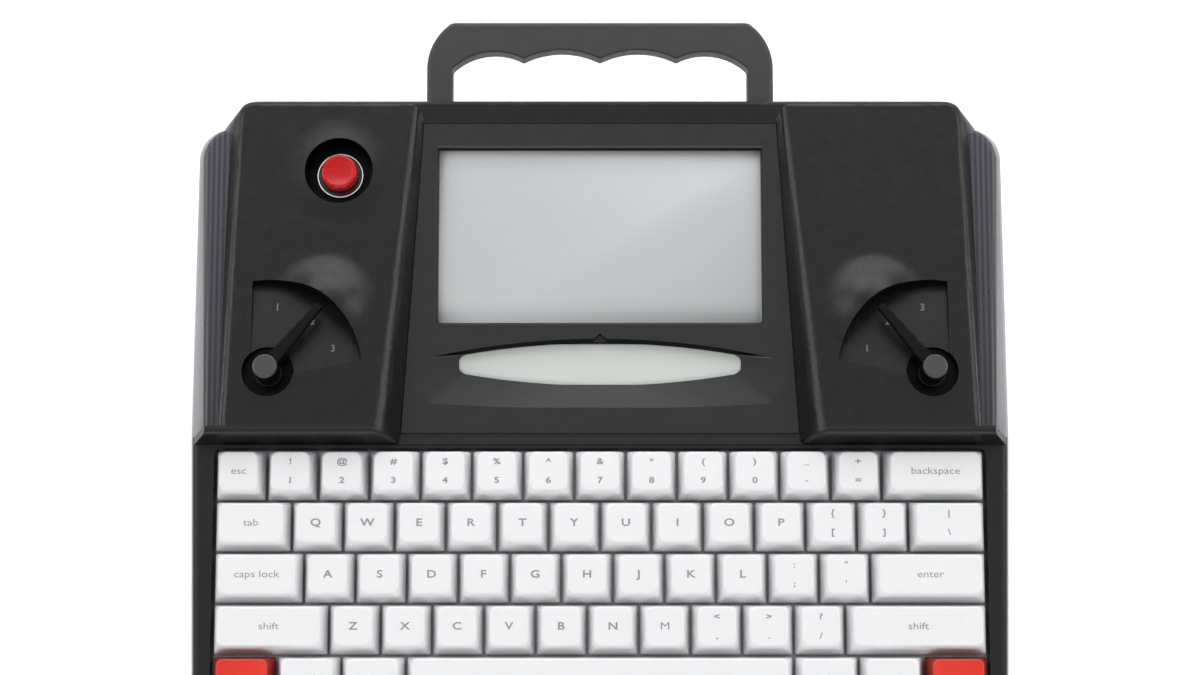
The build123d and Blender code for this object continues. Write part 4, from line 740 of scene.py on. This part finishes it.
# ------------------------------------------------------------------ floor, world and lights
floor_half = 4.0
floor_white = 0.86
floor_glow = 0.32                # added for rays that show the floor, so that it shows as white
horizon_strength = 0.7           # of the world, up to this share of the way up
horizon_share = 0.25
ceiling_strength = 0.16          # and from this share on
ceiling_share = 0.9
lamp_aim = Vector((0, 0, 0.03))

floor_mesh = bpy.data.meshes.new("floor")
floor_mesh.from_pydata(
    [(-floor_half, -floor_half, 0), (floor_half, -floor_half, 0),
     (floor_half, floor_half, 0), (-floor_half, floor_half, 0)], [], [(0, 1, 2, 3)]
)
floor = bpy.data.objects.new("floor", floor_mesh)
bpy.context.scene.collection.objects.link(floor)


def seen_ray(tree, share):
    """Share for rays from the camera, a reflection or a transmission, and nothing for others."""
    path = tree.nodes.new("ShaderNodeLightPath")
    total = path.outputs["Is Camera Ray"]
    for output in ("Is Glossy Ray", "Is Transmission Ray"):
        larger = tree.nodes.new("ShaderNodeMath")
        larger.operation = "MAXIMUM"
        tree.links.new(total, larger.inputs[0])
        tree.links.new(path.outputs[output], larger.inputs[1])
        total = larger.outputs[0]
    scaled = tree.nodes.new("ShaderNodeMath")
    scaled.operation = "MULTIPLY"
    scaled.inputs[1].default_value = share
    tree.links.new(total, scaled.inputs[0])
    return scaled.outputs[0]


def floor_paper():
    """Plain matt paper, lifted to white where it is seen."""
    material = bpy.data.materials.new("floor_paper")
    material.use_nodes = True
    tree = material.node_tree
    paper = tree.nodes["Principled BSDF"]
    paper.inputs["Base Color"].default_value = (floor_white, floor_white, floor_white, 1)
    paper.inputs["Roughness"].default_value = 0.9
    paper.inputs["Specular IOR Level"].default_value = 0.0
    glow = tree.nodes.new("ShaderNodeEmission")
    both = tree.nodes.new("ShaderNodeAddShader")
    tree.links.new(seen_ray(tree, floor_glow), glow.inputs["Strength"])
    tree.links.new(paper.outputs["BSDF"], both.inputs[0])
    tree.links.new(glow.outputs["Emission"], both.inputs[1])
    tree.links.new(both.outputs["Shader"], tree.nodes["Material Output"].inputs["Surface"])
    return material


def studio_world():
    """White for the camera and for reflections; its light fades to a dimmer ceiling."""
    world = bpy.data.worlds.new("studio")
    world.use_nodes = True
    sky = world.node_tree
    direction = sky.nodes.new("ShaderNodeTexCoord")
    parts = sky.nodes.new("ShaderNodeSeparateXYZ")
    sky.links.new(direction.outputs["Generated"], parts.inputs[0])
    fade = sky.nodes.new("ShaderNodeMapRange")
    fade.interpolation_type = "SMOOTHSTEP"
    fade.inputs["From Min"].default_value = horizon_share
    fade.inputs["From Max"].default_value = ceiling_share
    fade.inputs["To Min"].default_value = horizon_strength
    fade.inputs["To Max"].default_value = ceiling_strength
    sky.links.new(parts.outputs["Z"], fade.inputs["Value"])
    shown = sky.nodes.new("ShaderNodeMix")
    shown.inputs[3].default_value = 1.0
    sky.links.new(seen_ray(sky, 1.0), shown.inputs[0])
    sky.links.new(fade.outputs["Result"], shown.inputs[2])
    background = sky.nodes["Background"]
    background.inputs["Color"].default_value = (1.0, 1.0, 1.0, 1)
    sky.links.new(shown.outputs[0], background.inputs["Strength"])
    return world


floor_mesh.materials.append(floor_paper())
bpy.context.scene.world = studio_world()


def softbox(name, place, width, height, power):
    """Flat lamp that faces the object, its sizes in metres and its power in watts."""
    light = bpy.data.lights.new(name, "AREA")
    light.shape = "RECTANGLE"
    light.size = width
    light.size_y = height
    light.energy = power
    lamp = bpy.data.objects.new(name, light)
    lamp.location = place
    lamp.rotation_euler = (lamp_aim - lamp.location).to_track_quat("-Z", "Y").to_euler()
    bpy.context.scene.collection.objects.link(lamp)


softbox("left_bank", (-1.15, 0.25, 0.95), width=0.75, height=1.0, power=7.0)
softbox("right_bank", (1.15, 0.25, 0.95), width=0.75, height=1.0, power=7.0)
softbox("rear_bank", (0.0, 1.1, 1.0), width=1.6, height=0.95, power=15.5)
softbox("front_bank", (0.0, -1.35, 0.5), width=1.6, height=0.45, power=7.5)


# ------------------------------------------------------------------ camera
view_target = Vector((0, (front_y + 120.0) * MM, 0.045))
view_elevation = radians(72.5)
view_distance = 0.95             # metres
picture_width = 1200.0
focal_pixels = 2544.7            # focal length, in pixels of the 1200 wide picture
target_below_middle = 68.5       # the target shows this many pixels below the picture's middle

camera_data = bpy.data.cameras.new("camera")
camera = bpy.data.objects.new("camera", camera_data)
bpy.context.scene.collection.objects.link(camera)
bpy.context.scene.camera = camera
camera_data.sensor_width = 36.0
camera_data.lens = camera_data.sensor_width * focal_pixels / picture_width
camera_data.shift_y = target_below_middle / picture_width
camera_data.clip_start = 0.05
camera.location = view_target + view_distance * Vector(
    (0, -cos(view_elevation), sin(view_elevation))
)
camera.rotation_euler = (pi / 2 - view_elevation, 0, 0)

bpy.context.scene.view_settings.view_transform = "Standard"

bpy.context.view_layer.update()
